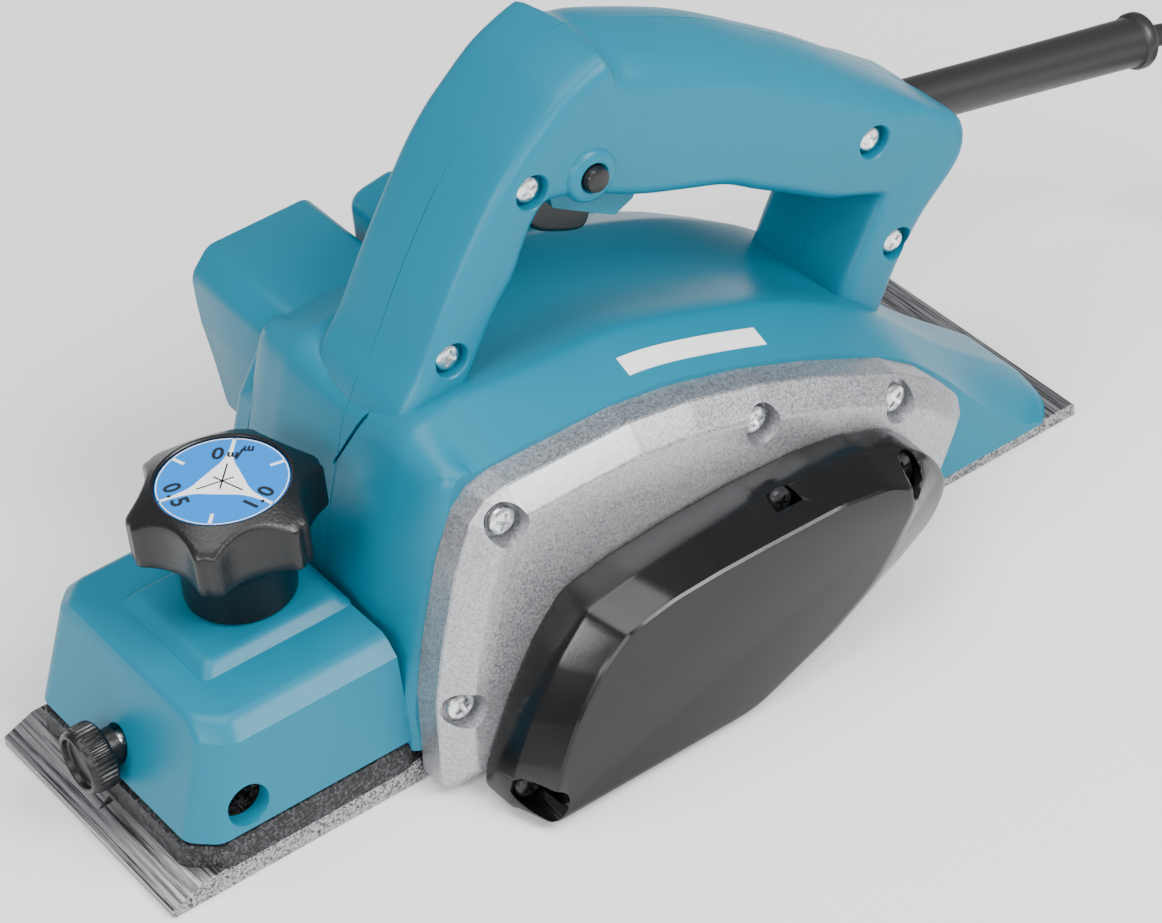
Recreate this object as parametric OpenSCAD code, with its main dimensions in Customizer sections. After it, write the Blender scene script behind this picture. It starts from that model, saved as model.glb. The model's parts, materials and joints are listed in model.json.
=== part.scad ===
// Electric hand planer. X runs forward, Y runs to the belt side and Z up.
// The origin lies on the rear sole, under the middle of the tool's length.

/* [Soles] */
// Width of both soles, which is the planing width
planing_w = 82; // [81:0.5:82.5]
// Front edge of the front sole, forward of the origin
front_edge = 145; // [144:0.5:148]
// Rear edge of the rear sole, behind the origin
rear_edge = 145; // [144:0.5:148]
// Thickness of the rear sole plate
rear_plate_t = 4; // [4:0.1:4.2]
// Thickness of the front sole plate
front_plate_t = 6; // [5.5:0.1:6.2]
// Top of the front base's dark cast rim
cast_top = 13; // [12.8:0.1:13]
// Largest depth of cut, which is how far the front base rises
max_depth = 1; // [0.8:0.1:1]

/* [Drum] */
// Drum axis, forward of the origin
drum_x = 34; // [33.8:0.1:34.2]
// Height of the drum axis over the rear sole
drum_z = 22.4; // [22.4:0.1:22.6]
// Radius of the blades' cutting circle
cut_r = 22.3; // [22:0.1:22.3]
// Radius of the drum's body
drum_r = 20.5; // [20:0.1:20.5]
// Radius of the drum's shaft
drum_shaft_r = 5; // [4.9:0.1:5]

/* [Motor] */
// Motor axis, behind the origin
motor_x = -38; // [-38.5:0.5:-38]
// Height of the motor axis
motor_z = 38; // [38:0.5:38.5]
// Outer radius of the field core
field_r = 28; // [27:0.5:28.5]
// Radius of the armature shaft
motor_shaft_r = 4; // [3.8:0.1:4]
// Radius of the motor's barrel outside
barrel_r = 33; // [32.5:0.5:33]

/* [Handle] */
// Half width of the handle
handle_half_w = 20; // [19:0.5:20]
// Thickness of the plastic walls
wall = 3; // [2.8:0.1:3]

/* [Depth knob] */
// Knob axis, forward of the origin
knob_x = 91.5; // [91:0.5:92]
// Radius over the knob's lobes
knob_r = 25; // [24:0.5:25]
// Radius of the knob's threaded stud
stud_r = 4; // [3.8:0.1:4]
// Underside of the knob's collar
knob_base_z = 48.3; // [48.3:0.1:48.6]

/* [Guide rod clamp] */
// Guide rod hole, forward of the origin
rod_x = 119.5; // [119:0.5:120]
// Height of the guide rod hole
rod_z = 21.5; // [21:0.5:21.5]
// Radius of the guide rod hole in the front base
rod_r = 4.75; // [4.5:0.05:4.9]
// Radius of the knurled thumb screw
thumb_r = 9; // [8.6:0.1:9]

/* [Belt drive] */
// Pitch radius of the motor pulley
motor_pulley_r = 9.5; // [9.4:0.1:9.6]
// Pitch radius of the drum pulley
drum_pulley_r = 11.5; // [11.4:0.1:11.6]

/* [Cord] */
// Diameter of the power cord
cord_d = 6.4; // [6.2:0.1:6.6]
// Mean radius of the coil
coil_r = 37.4; // [37:0.1:38]

/* [Hidden] */

$fn = 48;
half_w = planing_w / 2;
side_y = half_w + 1;
run_fit = 0.05;
fixed_gap = 0.3;
drum_gap = 2.2;

// Side outlines, as X and Z pairs
skin_front = [[72, 2], [71, 30], [67, 45], [60, 68], [54, 88], [50, 92]];
skin_deck = [[19, 93], [-12, 90], [-35, 83], [-60, 73], [-79, 62], [-90, 54]];
skin_tail = [[-110, 34], [-128, 18], [-140, 8], [-141, rear_plate_t]];
ridge_outline = concat(skin_front, skin_deck, skin_tail, [[-141, 2]]);
edge_outline = [for (p = ridge_outline) [p[0], max(2, p[1] * 0.92)]];
wall_outline = [[72, 3], [71, 30], [67, 45], [60, 66], [51, 79], [47, 84], [43, 85], [10.5, 85],
  [8, 66], [8, rear_plate_t + 0.2], [22.5, rear_plate_t + 0.2], [22.5, 3]];
shoulder_outline = [[9, 50], [9, 92], [-4, 94], [-30, 84], [-50, 66], [-50, 50]];
bracket_outline = [[71.5, 1], [70, 30], [66.5, 45], [60, 66], [54, 79], [49, 83.5], [42, 85], [6, 84.5],
  [-12, 81.5], [-33, 75.5], [-53, 67.5], [-77, 56], [-88, 48], [-97, 38], [-98, 31], [-90, 16],
  [-78, 6], [-60, 1]];
bracket_face = [[67, 1], [65.5, 29], [62, 43], [56, 61], [49, 74], [44, 79], [40, 80], [6, 79.5],
  [-13, 76.5], [-34, 70.5], [-54, 62.5], [-76, 51.5], [-86, 44], [-92, 37], [-93, 32], [-86, 18],
  [-75, 8], [-58, 1]];
cover_base = [[63, 2], [59, 15], [53, 27], [44, 41], [34, 51], [20, 54], [-18, 56], [-38, 55],
  [-54, 52], [-67, 47], [-76, 38], [-80, 28], [-76, 20], [-60, 10], [-20, 2]];
cover_face = [[59.5, 2], [54, 18], [47, 32], [38, 43], [30, 49], [16, 52], [-12, 52.5], [-36, 52],
  [-52, 49], [-60, 44], [-58, 36], [-44, 20], [-18, 8], [8, 2]];
pocket_outline = [[52, 5], [49, 14], [45, 24], [39, 36], [30, 42], [18, 45], [-18, 47], [-38, 47],
  [-50, 44], [-57, 38], [-60, 32], [-50, 16], [-20, 6]];
handle_back = [[51, 92.4], [45, 100], [36, 115], [28, 127], [19, 139], [8, 150], [-4, 159],
  [-12, 162.5], [-20, 163.5], [-30, 161], [-45, 154.5], [-60, 146.5], [-75, 137], [-90, 126.5],
  [-106, 113.5], [-120, 101.5], [-127, 95], [-129, 90], [-126, 83], [-114, 72], [-105, 60], [-98, 48]];
handle_foot = [[-92, 53.2], [-84, 59.2]];
handle_window = [[-88.3, 65], [-94.2, 75], [-98, 82], [-97, 85.5], [-93, 87.5], [-82, 92], [-69, 99],
  [-60, 104], [-48, 110.5], [-29, 118],
  [-12, 125.5], [0, 128], [6, 127], [9, 124], [14, 114], [22, 106], [29, 98], [31, 93.2]];
handle_outline = concat(handle_back, handle_foot, handle_window);
handle_cavity = [[40, 101], [32, 114], [24, 127], [15, 138], [5, 147], [-6, 155], [-20, 159.5],
  [-30, 157], [-45, 150.5], [-60, 142.5], [-75, 133], [-90, 122.5], [-106, 109.5], [-121, 96],
  [-121, 86], [-109.5, 73], [-101.5, 62], [-92.5, 62], [-97, 71], [-102, 80], [-103, 87], [-98, 91],
  [-84, 97], [-71, 104],
  [-60, 109], [-48, 115.5], [-29, 123], [-12, 130.5], [2, 133], [10, 131], [14, 126], [19, 115],
  [27, 107], [33, 101]];

// Screw centres, as X and Z pairs
handle_screw_at = [[7, 137], [35, 101], [-97, 102], [-103, 67]];
bracket_screw_at = [[64, 28], [46, 77], [-30, 67], [-74, 50]];
cover_screw_at = [[57, 8], [-25, 53], [-63, 43]];
base_screw_at = [[2, 30], [2, -30], [-100, 30], [-100, -30]];
end_screw_turns = [45, 135, 225, 315];

// Lock button and trigger
button_x = -10;
button_z = 134;
trigger_pivot = [8, 131];

// Cord route from the guard's mouth to the coil and from the coil to the plug
guard_root = [-127, 0, 91];
guard_tip = [-206, 0, 74];
guard_tilt = atan2(guard_root[2] - guard_tip[2], guard_root[0] - guard_tip[0]);
coil_c = [-287, 66];
coil_half_w = 14.6;
coil_h = 13.1;
coil_in_x = coil_c[0] + 48.75;
coil_out_x = coil_c[0] - 45.5;
lead_route = [guard_tip, [-214, 0, 72], [-222, 0, 69], [-229, 0.5, 64], [-234, 1.5, 57], [-237, 3, 49],
  [coil_in_x, 6, 40], [coil_in_x, 10, 31], [coil_in_x, 15.5, 22.5], [coil_in_x, 23, 14.5],
  [coil_in_x, 32, 8], [coil_in_x, 42, 4.4], [coil_in_x, 50, 3.5], [coil_in_x, 56, 3.4]];
tail_route = [[coil_out_x, 56, 9.6], [coil_out_x, 42, 9], [coil_out_x, 28, 8.2], [coil_out_x, 14, 7.7],
  [coil_out_x, 2, 7.6]];
plug_y = 2;
plug_z = 7.6;

// A solid between two Y planes from an XZ outline
module side_prism(points, y0, y1) {
  translate([0, y1, 0]) rotate([90, 0, 0]) linear_extrude(y1 - y0) polygon(points);
}

module y_rod(x, z, y0, y1, r) {
  translate([x, y1, z]) rotate([90, 0, 0]) cylinder(h = y1 - y0, r = r);
}

module x_rod(y, z, x0, x1, r) {
  translate([x0, y, z]) rotate([0, 90, 0]) cylinder(h = x1 - x0, r = r);
}

module z_rod(x, y, z0, z1, r) {
  translate([x, y, z0]) cylinder(h = z1 - z0, r = r);
}

module y_ring(x, z, y0, y1, r_out, r_in) {
  difference() {
    y_rod(x, z, y0, y1, r_out);
    y_rod(x, z, y0 - 1, y1 + 1, r_in);
  }
}

module block(x0, x1, y0, y1, z0, z1) {
  translate([x0, y0, z0]) cube([x1 - x0, y1 - y0, z1 - z0]);
}

// A pan head screw along +Y with a cross recess, its head's underside at y = 0
module pan_screw(head_r, head_h, shank_r, shank_l) {
  difference() {
    rotate([-90, 0, 0]) rotate_extrude() polygon([[0, 0], [head_r, 0], [head_r, head_h * 0.55],
      [head_r * 0.75, head_h * 0.9], [head_r * 0.4, head_h], [0, head_h]]);
    for (turn = [0, 90])
      rotate([0, turn, 0]) translate([-head_r * 0.6, head_h * 0.45, -head_r * 0.13])
        cube([head_r * 1.2, head_h, head_r * 0.26]);
  }
  y_rod(0, 0, -shank_l, 0, shank_r);
}

// The body's whole outside, with its flanks lower than the ridge
module housing_skin() {
  hull() {
    side_prism(ridge_outline, -24, 24);
    side_prism(edge_outline, -side_y, side_y);
  }
}

// Teal moulding that carries the motor, the drum and the deck
module main_housing() color("darkcyan") difference() {
  union() {
    housing_skin();
    side_prism(wall_outline, -48, -side_y + 0.5);
    y_rod(motor_x, motor_z, -74, -side_y + 1, barrel_r);
    y_rod(drum_x, drum_z, -58, -side_y, 16);
    side_prism(shoulder_outline, -68, -side_y + 1);
  }
  y_rod(drum_x, drum_z, -side_y + 0.5, side_y + 1, cut_r + drum_gap);
  y_rod(drum_x, drum_z, -56, -side_y + 1, 13);
  y_rod(motor_x, motor_z, -75, side_y + 1, barrel_r - wall - 0.5);
  side_prism([[16, 42], [44, 42], [45, 80], [15, 80]], -49, 30);
  side_prism([[5, 60], [5, 84], [-12, 84], [-30, 78], [-42, 66], [-42, 60]], -64, 30);
  side_prism([[-76, 8], [-76, 56], [-90, 48], [-108, 30], [-122, 17], [-130, 8]], -38, 38);
  block(-150, 23.5, -50, 50, 0, rear_plate_t);
  block(22.5, 73, -side_y + 0.5, side_y + 1, 0, 10.6);
  block(22.5, 73, -60, side_y, 0, 3);
  x_rod(-60, motor_z, motor_x - 50, motor_x + 50, 7.05);
  for (p = bracket_screw_at) y_rod(p[0], p[1], 30, 50, 1.8);
  for (p = base_screw_at) z_rod(p[0], p[1], 0, 14, 1.8);
}

// Teal duct that throws the chips out to the right
module chip_chute() color("darkcyan") difference() {
  side_prism([[50, 39], [51, 64], [50, 78], [47.5, 83], [43, 85], [12, 85], [10.5, 82], [10.5, 39]],
             -77, -48);
  side_prism([[44, 42], [46, 64], [44.5, 80], [15, 80], [15, 42]], -80, -40);
}

// Slotted cover on the motor barrel's open end
module motor_end_cover() color("darkcyan") difference() {
  union() {
    y_rod(motor_x, motor_z, -78, -74, barrel_r);
    y_ring(motor_x, motor_z, -78, -68, 14, 8.05);
  }
  for (k = [0:8])
    translate([motor_x, -80, motor_z]) rotate([0, k * 40 + 20, 0]) block(17, 27, 0, 10, -1.6, 1.6);
  for (a = end_screw_turns)
    y_rod(motor_x + 30 * cos(a), motor_z + 30 * sin(a), -80, -70, 1.6);
}

module end_cover_screws() color("silver")
  for (a = end_screw_turns)
    translate([motor_x + 30 * cos(a), -78, motor_z + 30 * sin(a)]) rotate([180, 0, 0])
      pan_screw(2.8, 2, 1.5, 3.9);

// Box over the front base, split on the centre plane
module front_cover_solid() difference() {
  intersection() {
    block(72.2, 150, -half_w, half_w, cast_top + max_depth + 0.15, 60);
    side_prism([[72.2, 10], [136.5, 10], [125, 45], [124, 45], [114, 48], [72.2, 48]], -50, 50);
    rotate([90, 0, 90]) linear_extrude(200) polygon([[-half_w, 0], [half_w, 0], [half_w - 2, 40.5],
      [half_w - 7, 45], [20, 45], [20, 48], [-20, 48], [-20, 45], [7 - half_w, 45], [2 - half_w, 40.5]]);
    linear_extrude(100) polygon([[70, -60], [129, -60], [129, -half_w], [136.5, 6.5 - half_w],
      [136.5, half_w - 6.5], [129, half_w], [129, 60], [70, 60]]);
  }
  side_prism([[75.5, 10], [132.5, 10], [121.5, 41.5], [75.5, 41.5]], 4 - half_w, half_w - 4);
  z_rod(knob_x, 0, 30, 60, 7);
  y_rod(rod_x, rod_z, -60, 60, rod_r + 1.2);
  x_rod(0, rod_z, 120, 150, 5.2);
}

module front_cover_left() color("darkcyan") intersection() {
  front_cover_solid();
  block(60, 150, 0, 60, 0, 60);
}

module front_cover_right() color("darkcyan") intersection() {
  front_cover_solid();
  block(60, 150, -60, 0, 0, 60);
}

// Steel bush in the box's top that the knob's stud turns in
module knob_bush() color("dimgray") difference() {
  z_rod(knob_x, 0, 38.5, knob_base_z - 0.05, 7);
  z_rod(knob_x, 0, 30, 60, stud_r + run_fit);
}

// Cast plate that carries the left bearings and the belt pocket
module side_bracket() color("silver") difference() {
  union() {
    side_prism(bracket_outline, side_y, 51);
    side_prism(bracket_face, 50, 56);
  }
  side_prism(pocket_outline, 52, 60);
  y_rod(drum_x, drum_z, side_y - 1, 50, 13);
  y_rod(drum_x, drum_z, 40, 60, 8.6);
  y_rod(motor_x, motor_z, side_y - 1, 50, 11);
  y_rod(motor_x, motor_z, 40, 60, 7);
  for (p = bracket_screw_at) {
    y_rod(p[0], p[1], 40, 60, 2.2);
    y_rod(p[0], p[1], 50, 60, 5.2);
  }
  for (p = cover_screw_at) y_rod(p[0], p[1], 45, 60, 1.6);
}

// Black moulded shell over the belt
module belt_cover() color("black") difference() {
  hull() {
    side_prism(cover_base, 56.05, 66);
    side_prism(cover_face, 78, 79.5);
  }
  hull() {
    side_prism([for (p = cover_base) [(p[0] + 8) * 0.94 - 8, (p[1] - 28) * 0.88 + 28]], 50, 65);
    side_prism([for (p = cover_face) [(p[0] + 4) * 0.94 - 4, (p[1] - 28) * 0.88 + 28]], 76, 76.5);
  }
  for (p = cover_screw_at) y_rod(p[0], p[1], 66, 90, 4.6);
  for (p = cover_screw_at) y_rod(p[0], p[1], 50, 90, 2);
}

// Machined aluminium rear sole with a bevelled mouth
module rear_base() color("gainsboro") difference() {
  union() {
    side_prism([[-rear_edge, 0], [23, 0], [23, 0.8], [19.8, rear_plate_t], [-rear_edge + 0.8, rear_plate_t],
      [-rear_edge, rear_plate_t - 0.8]], -half_w, half_w);
    for (y = [-26, 0, 26]) block(-72, -20, y - 1.5, y + 1.5, rear_plate_t - 1, rear_plate_t);
  }
  for (p = base_screw_at) {
    z_rod(p[0], p[1], -1, 10, 2.2);
    z_rod(p[0], p[1], -1, 2.4, 4.4);
  }
}

module handle_solid() difference() {
  union() {
    side_prism(handle_outline, -handle_half_w + 4, handle_half_w - 4);
    intersection() {
      side_prism(handle_outline, -handle_half_w, handle_half_w);
      union() {
        side_prism([[60, 80], [51, 92], [30, 124], [4, 149], [-18, 158.5], [-32, 155.5], [-62, 140.5],
          [-92, 121], [-122, 95], [-125, 88], [-110, 72], [-95, 48], [-88, 58], [-92.5, 66], [-98.5, 76.5],
          [-102, 84], [-100, 88.5], [-92, 92.5], [-75, 100], [-60, 108], [-29, 122], [-8, 130], [8, 131],
          [18, 116], [31, 91]], -60, 60);
      }
    }
  }
  side_prism(handle_cavity, -handle_half_w + wall + 1, handle_half_w - wall - 1);
  trigger_slot();
  guard_socket();
}

module trigger_slot() block(-22, 11.5, -8, 8, 100, 134.8);

// Socket that the cord guard passes through
module guard_socket() along_guard() {
  translate([0, 0, -14]) cylinder(h = 40, r = 6.6);
  translate([0, 0, -13]) cylinder(h = 5, r = 8.7);
}

module along_guard() {
  translate(guard_root) rotate([0, -90 - guard_tilt, 0]) children();
}

module handle_left() color("darkcyan") difference() {
  union() {
    intersection() {
      handle_solid();
      block(-200, 100, 0, 60, 0, 200);
    }
    for (p = handle_screw_at) y_rod(p[0], p[1], 0, handle_half_w - 1, 6.2);
    y_rod(button_x, button_z, 14, handle_half_w + 1.5, 6.5);
  }
  for (p = handle_screw_at) {
    y_rod(p[0], p[1], -1, 30, 2.2);
    y_rod(p[0], p[1], handle_half_w - 4, 30, 4.65);
  }
  y_rod(button_x, button_z, 0, 30, 3.55);
  y_rod(button_x, button_z, 0, 14, 5);
  trigger_slot();
}

module handle_right() color("darkcyan") difference() {
  union() {
    intersection() {
      handle_solid();
      block(-200, 100, -60, 0, 0, 200);
    }
    for (p = handle_screw_at) y_rod(p[0], p[1], 1 - handle_half_w, 0, 5);
  }
  for (p = handle_screw_at) y_rod(p[0], p[1], -12, 1, 1.8);
  trigger_slot();
}

module handle_screws() color("silver")
  for (p = handle_screw_at)
    translate([p[0], handle_half_w - 3.95, p[1]]) pan_screw(3.5, 2.4, 1.75, 26);

module bracket_screws() color("silver")
  for (p = bracket_screw_at)
    translate([p[0], 50.05, p[1]]) pan_screw(3.9, 2.8, 1.75, 18);

module belt_cover_screws() color("dimgray")
  for (p = cover_screw_at)
    translate([p[0], 66.05, p[1]]) pan_screw(3.4, 2.4, 1.55, 19.5);

module base_screws() color("dimgray")
  for (p = base_screw_at) {
    z_rod(p[0], p[1], 0.6, 2.35, 4.1);
    z_rod(p[0], p[1], 2.3, 13, 1.75);
  }

module drum_bearings() color("silver") {
  y_ring(drum_x, drum_z, -54, -45, 12.95, drum_shaft_r + run_fit);
  y_ring(drum_x, drum_z, 42.2, 49.95, 12.95, drum_shaft_r + run_fit);
}

module motor_bearings() color("silver") {
  y_ring(motor_x, motor_z, -73.9, -68, 8, motor_shaft_r + run_fit);
  y_ring(motor_x, motor_z, 42.2, 49.95, 10.95, motor_shaft_r + run_fit);
}

// Laminated field core with two flats
module motor_field() color("slategray") difference() {
  intersection() {
    y_rod(motor_x, motor_z, -46, -8, field_r);
    block(-100, 100, -60, 60, motor_z - 25, motor_z + 25);
  }
  y_rod(motor_x, motor_z, -60, 0, 18);
}

module field_coils() color("chocolate")
  for (end_y = [-52, -8])
    difference() {
      y_rod(motor_x, motor_z, end_y, end_y + 6, 25);
      y_rod(motor_x, motor_z, end_y - 1, end_y + 7, 19);
      block(motor_x - 12, motor_x + 12, end_y - 1, end_y + 7, 0, 100);
    }

// Brush tubes on both sides of the commutator, along X
module brush_holders() color("peru")
  for (side = [-1, 1])
    translate([motor_x, -60, motor_z]) scale([side, 1, 1]) difference() {
      block(13.4, 28.8, -4.5, 4.5, -5.5, 5.5);
      block(12, 30, -3.1, 3.1, -4.1, 4.1);
    }

module carbon_brushes() color("black")
  for (side = [-1, 1])
    translate([motor_x, -60, motor_z]) scale([side, 1, 1]) block(12.4, 24, -3, 3, -4, 4);

module brush_caps() color("black")
  for (side = [-1, 1])
    translate([motor_x, -60, motor_z]) scale([side, 1, 1]) difference() {
      x_rod(0, 0, 29.6, barrel_r + 1.5, 7);
      block(barrel_r + 0.4, barrel_r + 4, -8, 8, -0.8, 0.8);
    }

// Poly-V belt as a closed band round both pulleys
module belt_path(grow, y0, y1) {
  hull() {
    y_rod(motor_x, motor_z, y0, y1, motor_pulley_r + grow);
    y_rod(drum_x, drum_z, y0, y1, drum_pulley_r + grow);
  }
}

module drive_belt() color("black") difference() {
  belt_path(2.5, 58, 70);
  belt_path(fixed_gap, 50, 80);
}

module switch_body() color("dimgray") difference() {
  block(-46, -4, -12, 12, 139, 148.5);
  block(-60, -24, -20, 20, 145, 150);
}

module trigger_pin() color("silver") y_rod(trigger_pivot[0], trigger_pivot[1], -7.9, 7.9, 1.5);

module cord_clamp() color("black") difference() {
  block(-112, -104, -9, 9, 92, 97);
  block(-120, -100, -3.4, 3.4, 90, 94);
}

// Tapered rubber guard with a ringed mouth
module cord_guard() color("black")
  along_guard() difference() {
    rotate_extrude() polygon([[0, -12], [8.5, -12], [8.5, -9], [6.55, -9], [6.55, 20], [6.8, 73], [8, 74],
      [8, 79.5], [6.5, 80.8], [0, 80.8]]);
    translate([0, 0, -20]) cylinder(h = 120, r = cord_d / 2);
  }

// Blank sticker that follows the left flank
module rating_label() color("white") difference() {
  intersection() {
    translate([0, 0, 0.35]) housing_skin();
    block(-46, -4, 32.2, 37.4, 60, 100);
  }
  housing_skin();
}

// Cast front base: machined sole, dark cast rim and the guide block
module front_base() color("gray") difference() {
  union() {
    side_prism([[46, 0], [front_edge, 0], [front_edge, 2.5], [136, front_plate_t], [77, front_plate_t],
      [60, 9], [55, 9]], -half_w, half_w);
    intersection() {
      block(77, 136, -half_w, half_w, front_plate_t - 0.5, cast_top);
      linear_extrude(100) polygon([[70, -half_w], [129, -half_w], [136, 7 - half_w], [136, half_w - 7],
        [129, half_w], [70, half_w]]);
    }
    side_prism([[80, cast_top - 1], [129.8, cast_top - 1], [123.8, 30], [80, 30]], -34, 34);
    block(80, 104, -20, 20, 29, 36);
  }
  y_rod(rod_x, rod_z, -60, 60, rod_r);
  x_rod(0, rod_z, 118, 150, 3 + run_fit);
  z_rod(knob_x, 0, 10, 50, 6.5);
  translate([139, 0, -1.2]) rotate([0, 90, 0]) rotate([0, 0, 45]) cube([4.2, 4.2, 20], center = true);
}

// Threaded insert that climbs the knob's stud
module base_insert() color("goldenrod") difference() {
  z_rod(knob_x, 0, 12, 30, 6.45);
  z_rod(knob_x, 0, 5, 60, stud_r + run_fit);
}

// Spring under the box's top that takes up the thread's play
module knob_spring() color("silver")
  for (k = [0:3])
    difference() {
      z_rod(knob_x, 0, 31.2 + k * 1.9, 32.3 + k * 1.9, 6.2);
      z_rod(knob_x, 0, 20, 60, 4.9);
    }

// Six-lobed knob with concave flats between the lobes
module depth_knob() color("black") difference() {
  union() {
    z_rod(knob_x, 0, knob_base_z, 60, 15);
    translate([knob_x, 0, 60]) cylinder(h = 6, r1 = 15, r2 = 21);
    difference() {
      z_rod(knob_x, 0, 66, 80, knob_r);
      for (k = [0:5])
        rotate_about_knob(k * 60 + 76.5) z_rod(34.5, 0, 60, 90, 14);
    }
    translate([knob_x, 0, 79.9]) cylinder(h = 3, r1 = 20.5, r2 = 18);
  }
  z_rod(knob_x, 0, 82.2, 90, 16.6);
  z_rod(knob_x, 0, 40, 71.9, stud_r);
}

module rotate_about_knob(turn) {
  translate([knob_x, 0, 0]) rotate([0, 0, turn]) children();
}

module knob_dial() color("deepskyblue") z_rod(knob_x, 0, 82.2, 82.7, 16.5);

module knob_stud() color("silver") z_rod(knob_x, 0, 16, 71.9, stud_r);

// Knurled head of the guide rod screw, with a recessed face
module thumb_screw_head() color("black") difference() {
  union() {
    x_rod(0, rod_z, 136.6, 144.4, thumb_r - 0.5);
    for (k = [0:29])
      translate([136.6, 0, rod_z]) rotate([k * 12, 0, 0]) block(0, 7.8, -0.5, 0.5, thumb_r - 1.2, thumb_r);
    x_rod(0, rod_z, 133, 137, 5);
  }
  x_rod(0, rod_z, 143, 146, 6);
  x_rod(0, rod_z, 130, 140.9, 3);
}

module thumb_screw_stem() color("silver") x_rod(0, rod_z, 125, 140.9, 3);

// Drum body with two flats for the blade sets
module cutter_drum() color("lightgray") difference() {
  union() {
    y_rod(drum_x, drum_z, 0.2 - half_w, half_w - 0.2, drum_r);
    y_rod(drum_x, drum_z, -55, 74.4, drum_shaft_r);
  }
  for (turn = [0, 180])
    translate([drum_x, 0, drum_z]) rotate([0, turn, 0]) block(-30, 30, -half_w, half_w, 12, 30);
}

module at_drum_seat(turn) {
  translate([drum_x, 0, drum_z]) rotate([0, turn, 0]) children();
}

// Carbide blades that lie on the drum's flats
module planer_blades() color("whitesmoke")
  for (turn = [0, 180])
    at_drum_seat(turn)
      side_prism([[-18.75, 12], [-12.4, 12], [-12.4, 13.2], [-17.6, 13.2]], 0.4 - half_w, half_w - 0.4);

module blade_clamps() color("dimgray")
  for (turn = [0, 180])
    at_drum_seat(turn) difference() {
      side_prism([[-12.3, 12], [11.8, 12], [9, 16], [0, 18], [-8, 17.6], [-16, 13.9], [-17, 13.3],
                  [-12.3, 13.3]],
        0.6 - half_w, half_w - 0.6);
      for (y = [-24, 0, 24]) translate([0, y, 0]) z_rod(0, 0, 0, 16, 2.6);
      for (y = [-24, 0, 24]) translate([0, y, 0]) z_rod(0, 0, 14, 30, 5);
    }

module blade_bolts() color("silver")
  for (turn = [0, 180])
    at_drum_seat(turn)
      for (y = [-24, 0, 24])
        translate([0, y, 0]) difference() {
          z_rod(0, 0, 14.05, 18.6, 4.6);
          translate([0, 0, 16]) cylinder(h = 4, r = 2.3, $fn = 6);
        }

module drum_pulley() color("gray") difference() {
  union() {
    y_rod(drum_x, drum_z, 56.6, 71.4, drum_pulley_r);
    y_rod(drum_x, drum_z, 56.2, 57.6, drum_pulley_r + 1.6);
    y_rod(drum_x, drum_z, 50.4, 57, 8);
  }
  y_rod(drum_x, drum_z, 40, 90, drum_shaft_r);
}

module pulley_nut() color("silver") difference() {
  translate([drum_x, 74.4, drum_z]) rotate([90, 0, 0]) cylinder(h = 3, r = 8, $fn = 6);
  y_rod(drum_x, drum_z, 60, 90, drum_shaft_r);
}

module armature_shaft() color("silver") y_rod(motor_x, motor_z, -73.5, 73.6, motor_shaft_r);

module armature_core() color("slategray") difference() {
  y_rod(motor_x, motor_z, -46, -8, 17.4);
  y_rod(motor_x, motor_z, -60, 60, motor_shaft_r);
  for (k = [0:11])
    translate([motor_x, -60, motor_z]) rotate([0, k * 30, 0]) block(9, 20, 0, 70, -0.9, 0.9);
}

module commutator() color("peru") difference() {
  y_rod(motor_x, motor_z, -66, -54, 12);
  y_rod(motor_x, motor_z, -80, 60, motor_shaft_r);
}

module cooling_fan() color("gainsboro") difference() {
  union() {
    y_rod(motor_x, motor_z, 10, 12, 26);
    y_rod(motor_x, motor_z, 0, 12, 8);
    for (k = [0:10])
      translate([motor_x, 0, motor_z]) rotate([0, k * 360 / 11, 0]) block(10, 26, 2, 10.5, -0.8, 0.8);
  }
  y_rod(motor_x, motor_z, -10, 20, motor_shaft_r);
}

module motor_pulley() color("silver") difference() {
  union() {
    y_rod(motor_x, motor_z, 56.6, 71.4, motor_pulley_r);
    y_rod(motor_x, motor_z, 56.2, 57.6, motor_pulley_r + 1.6);
    y_rod(motor_x, motor_z, 50.4, 57, 6);
  }
  y_rod(motor_x, motor_z, 40, 90, motor_shaft_r);
}

// Paddle that hangs on its pin at the front and swings up into the grip
module trigger() color("black") difference() {
  side_prism([[10.5, 129], [7, 134], [2, 135], [-20, 129], [-19, 121], [-16, 113], [-13, 110.5],
    [-2, 114.5], [4, 121]], -7.5, 7.5);
  y_rod(trigger_pivot[0], trigger_pivot[1], -20, 20, 1.5 + run_fit);
  block(-30, 20, -20, 20, 133.4, 160);
}

module trigger_spring() color("silver")
  for (k = [0:2])
    difference() {
      z_rod(-9, 0, 133.1 + k * 2.3, 134 + k * 2.3, 3);
      z_rod(-9, 0, 120, 150, 2);
    }

module lock_button() color("black") {
  y_rod(button_x, button_z, 13.5, 23.5, 3.5);
  y_rod(button_x, button_z, 12.3, 13.5, 4.6);
}

module button_spring() color("silver")
  for (k = [0:1])
    difference() {
      y_rod(button_x, button_z, 8.6 + k * 1.8, 9.6 + k * 1.8, 3);
      y_rod(button_x, button_z, 0, 20, 2.2);
    }

// A tube of flat facets swept along a route
function unit(v) = v / norm(v);
function route_dir(route, k) = unit(route[min(k + 1, len(route) - 1)] - route[max(k - 1, 0)]);
function ring_side(route, k) = unit(cross(route_dir(route, k), [0.1, -0.2, 1]));
function ring_up(route, k) = cross(ring_side(route, k), route_dir(route, k));
function ring_point(route, k, j, r, sides) = route[k]
  + r * cos(j * 360 / sides) * ring_side(route, k) + r * sin(j * 360 / sides) * ring_up(route, k);

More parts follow.
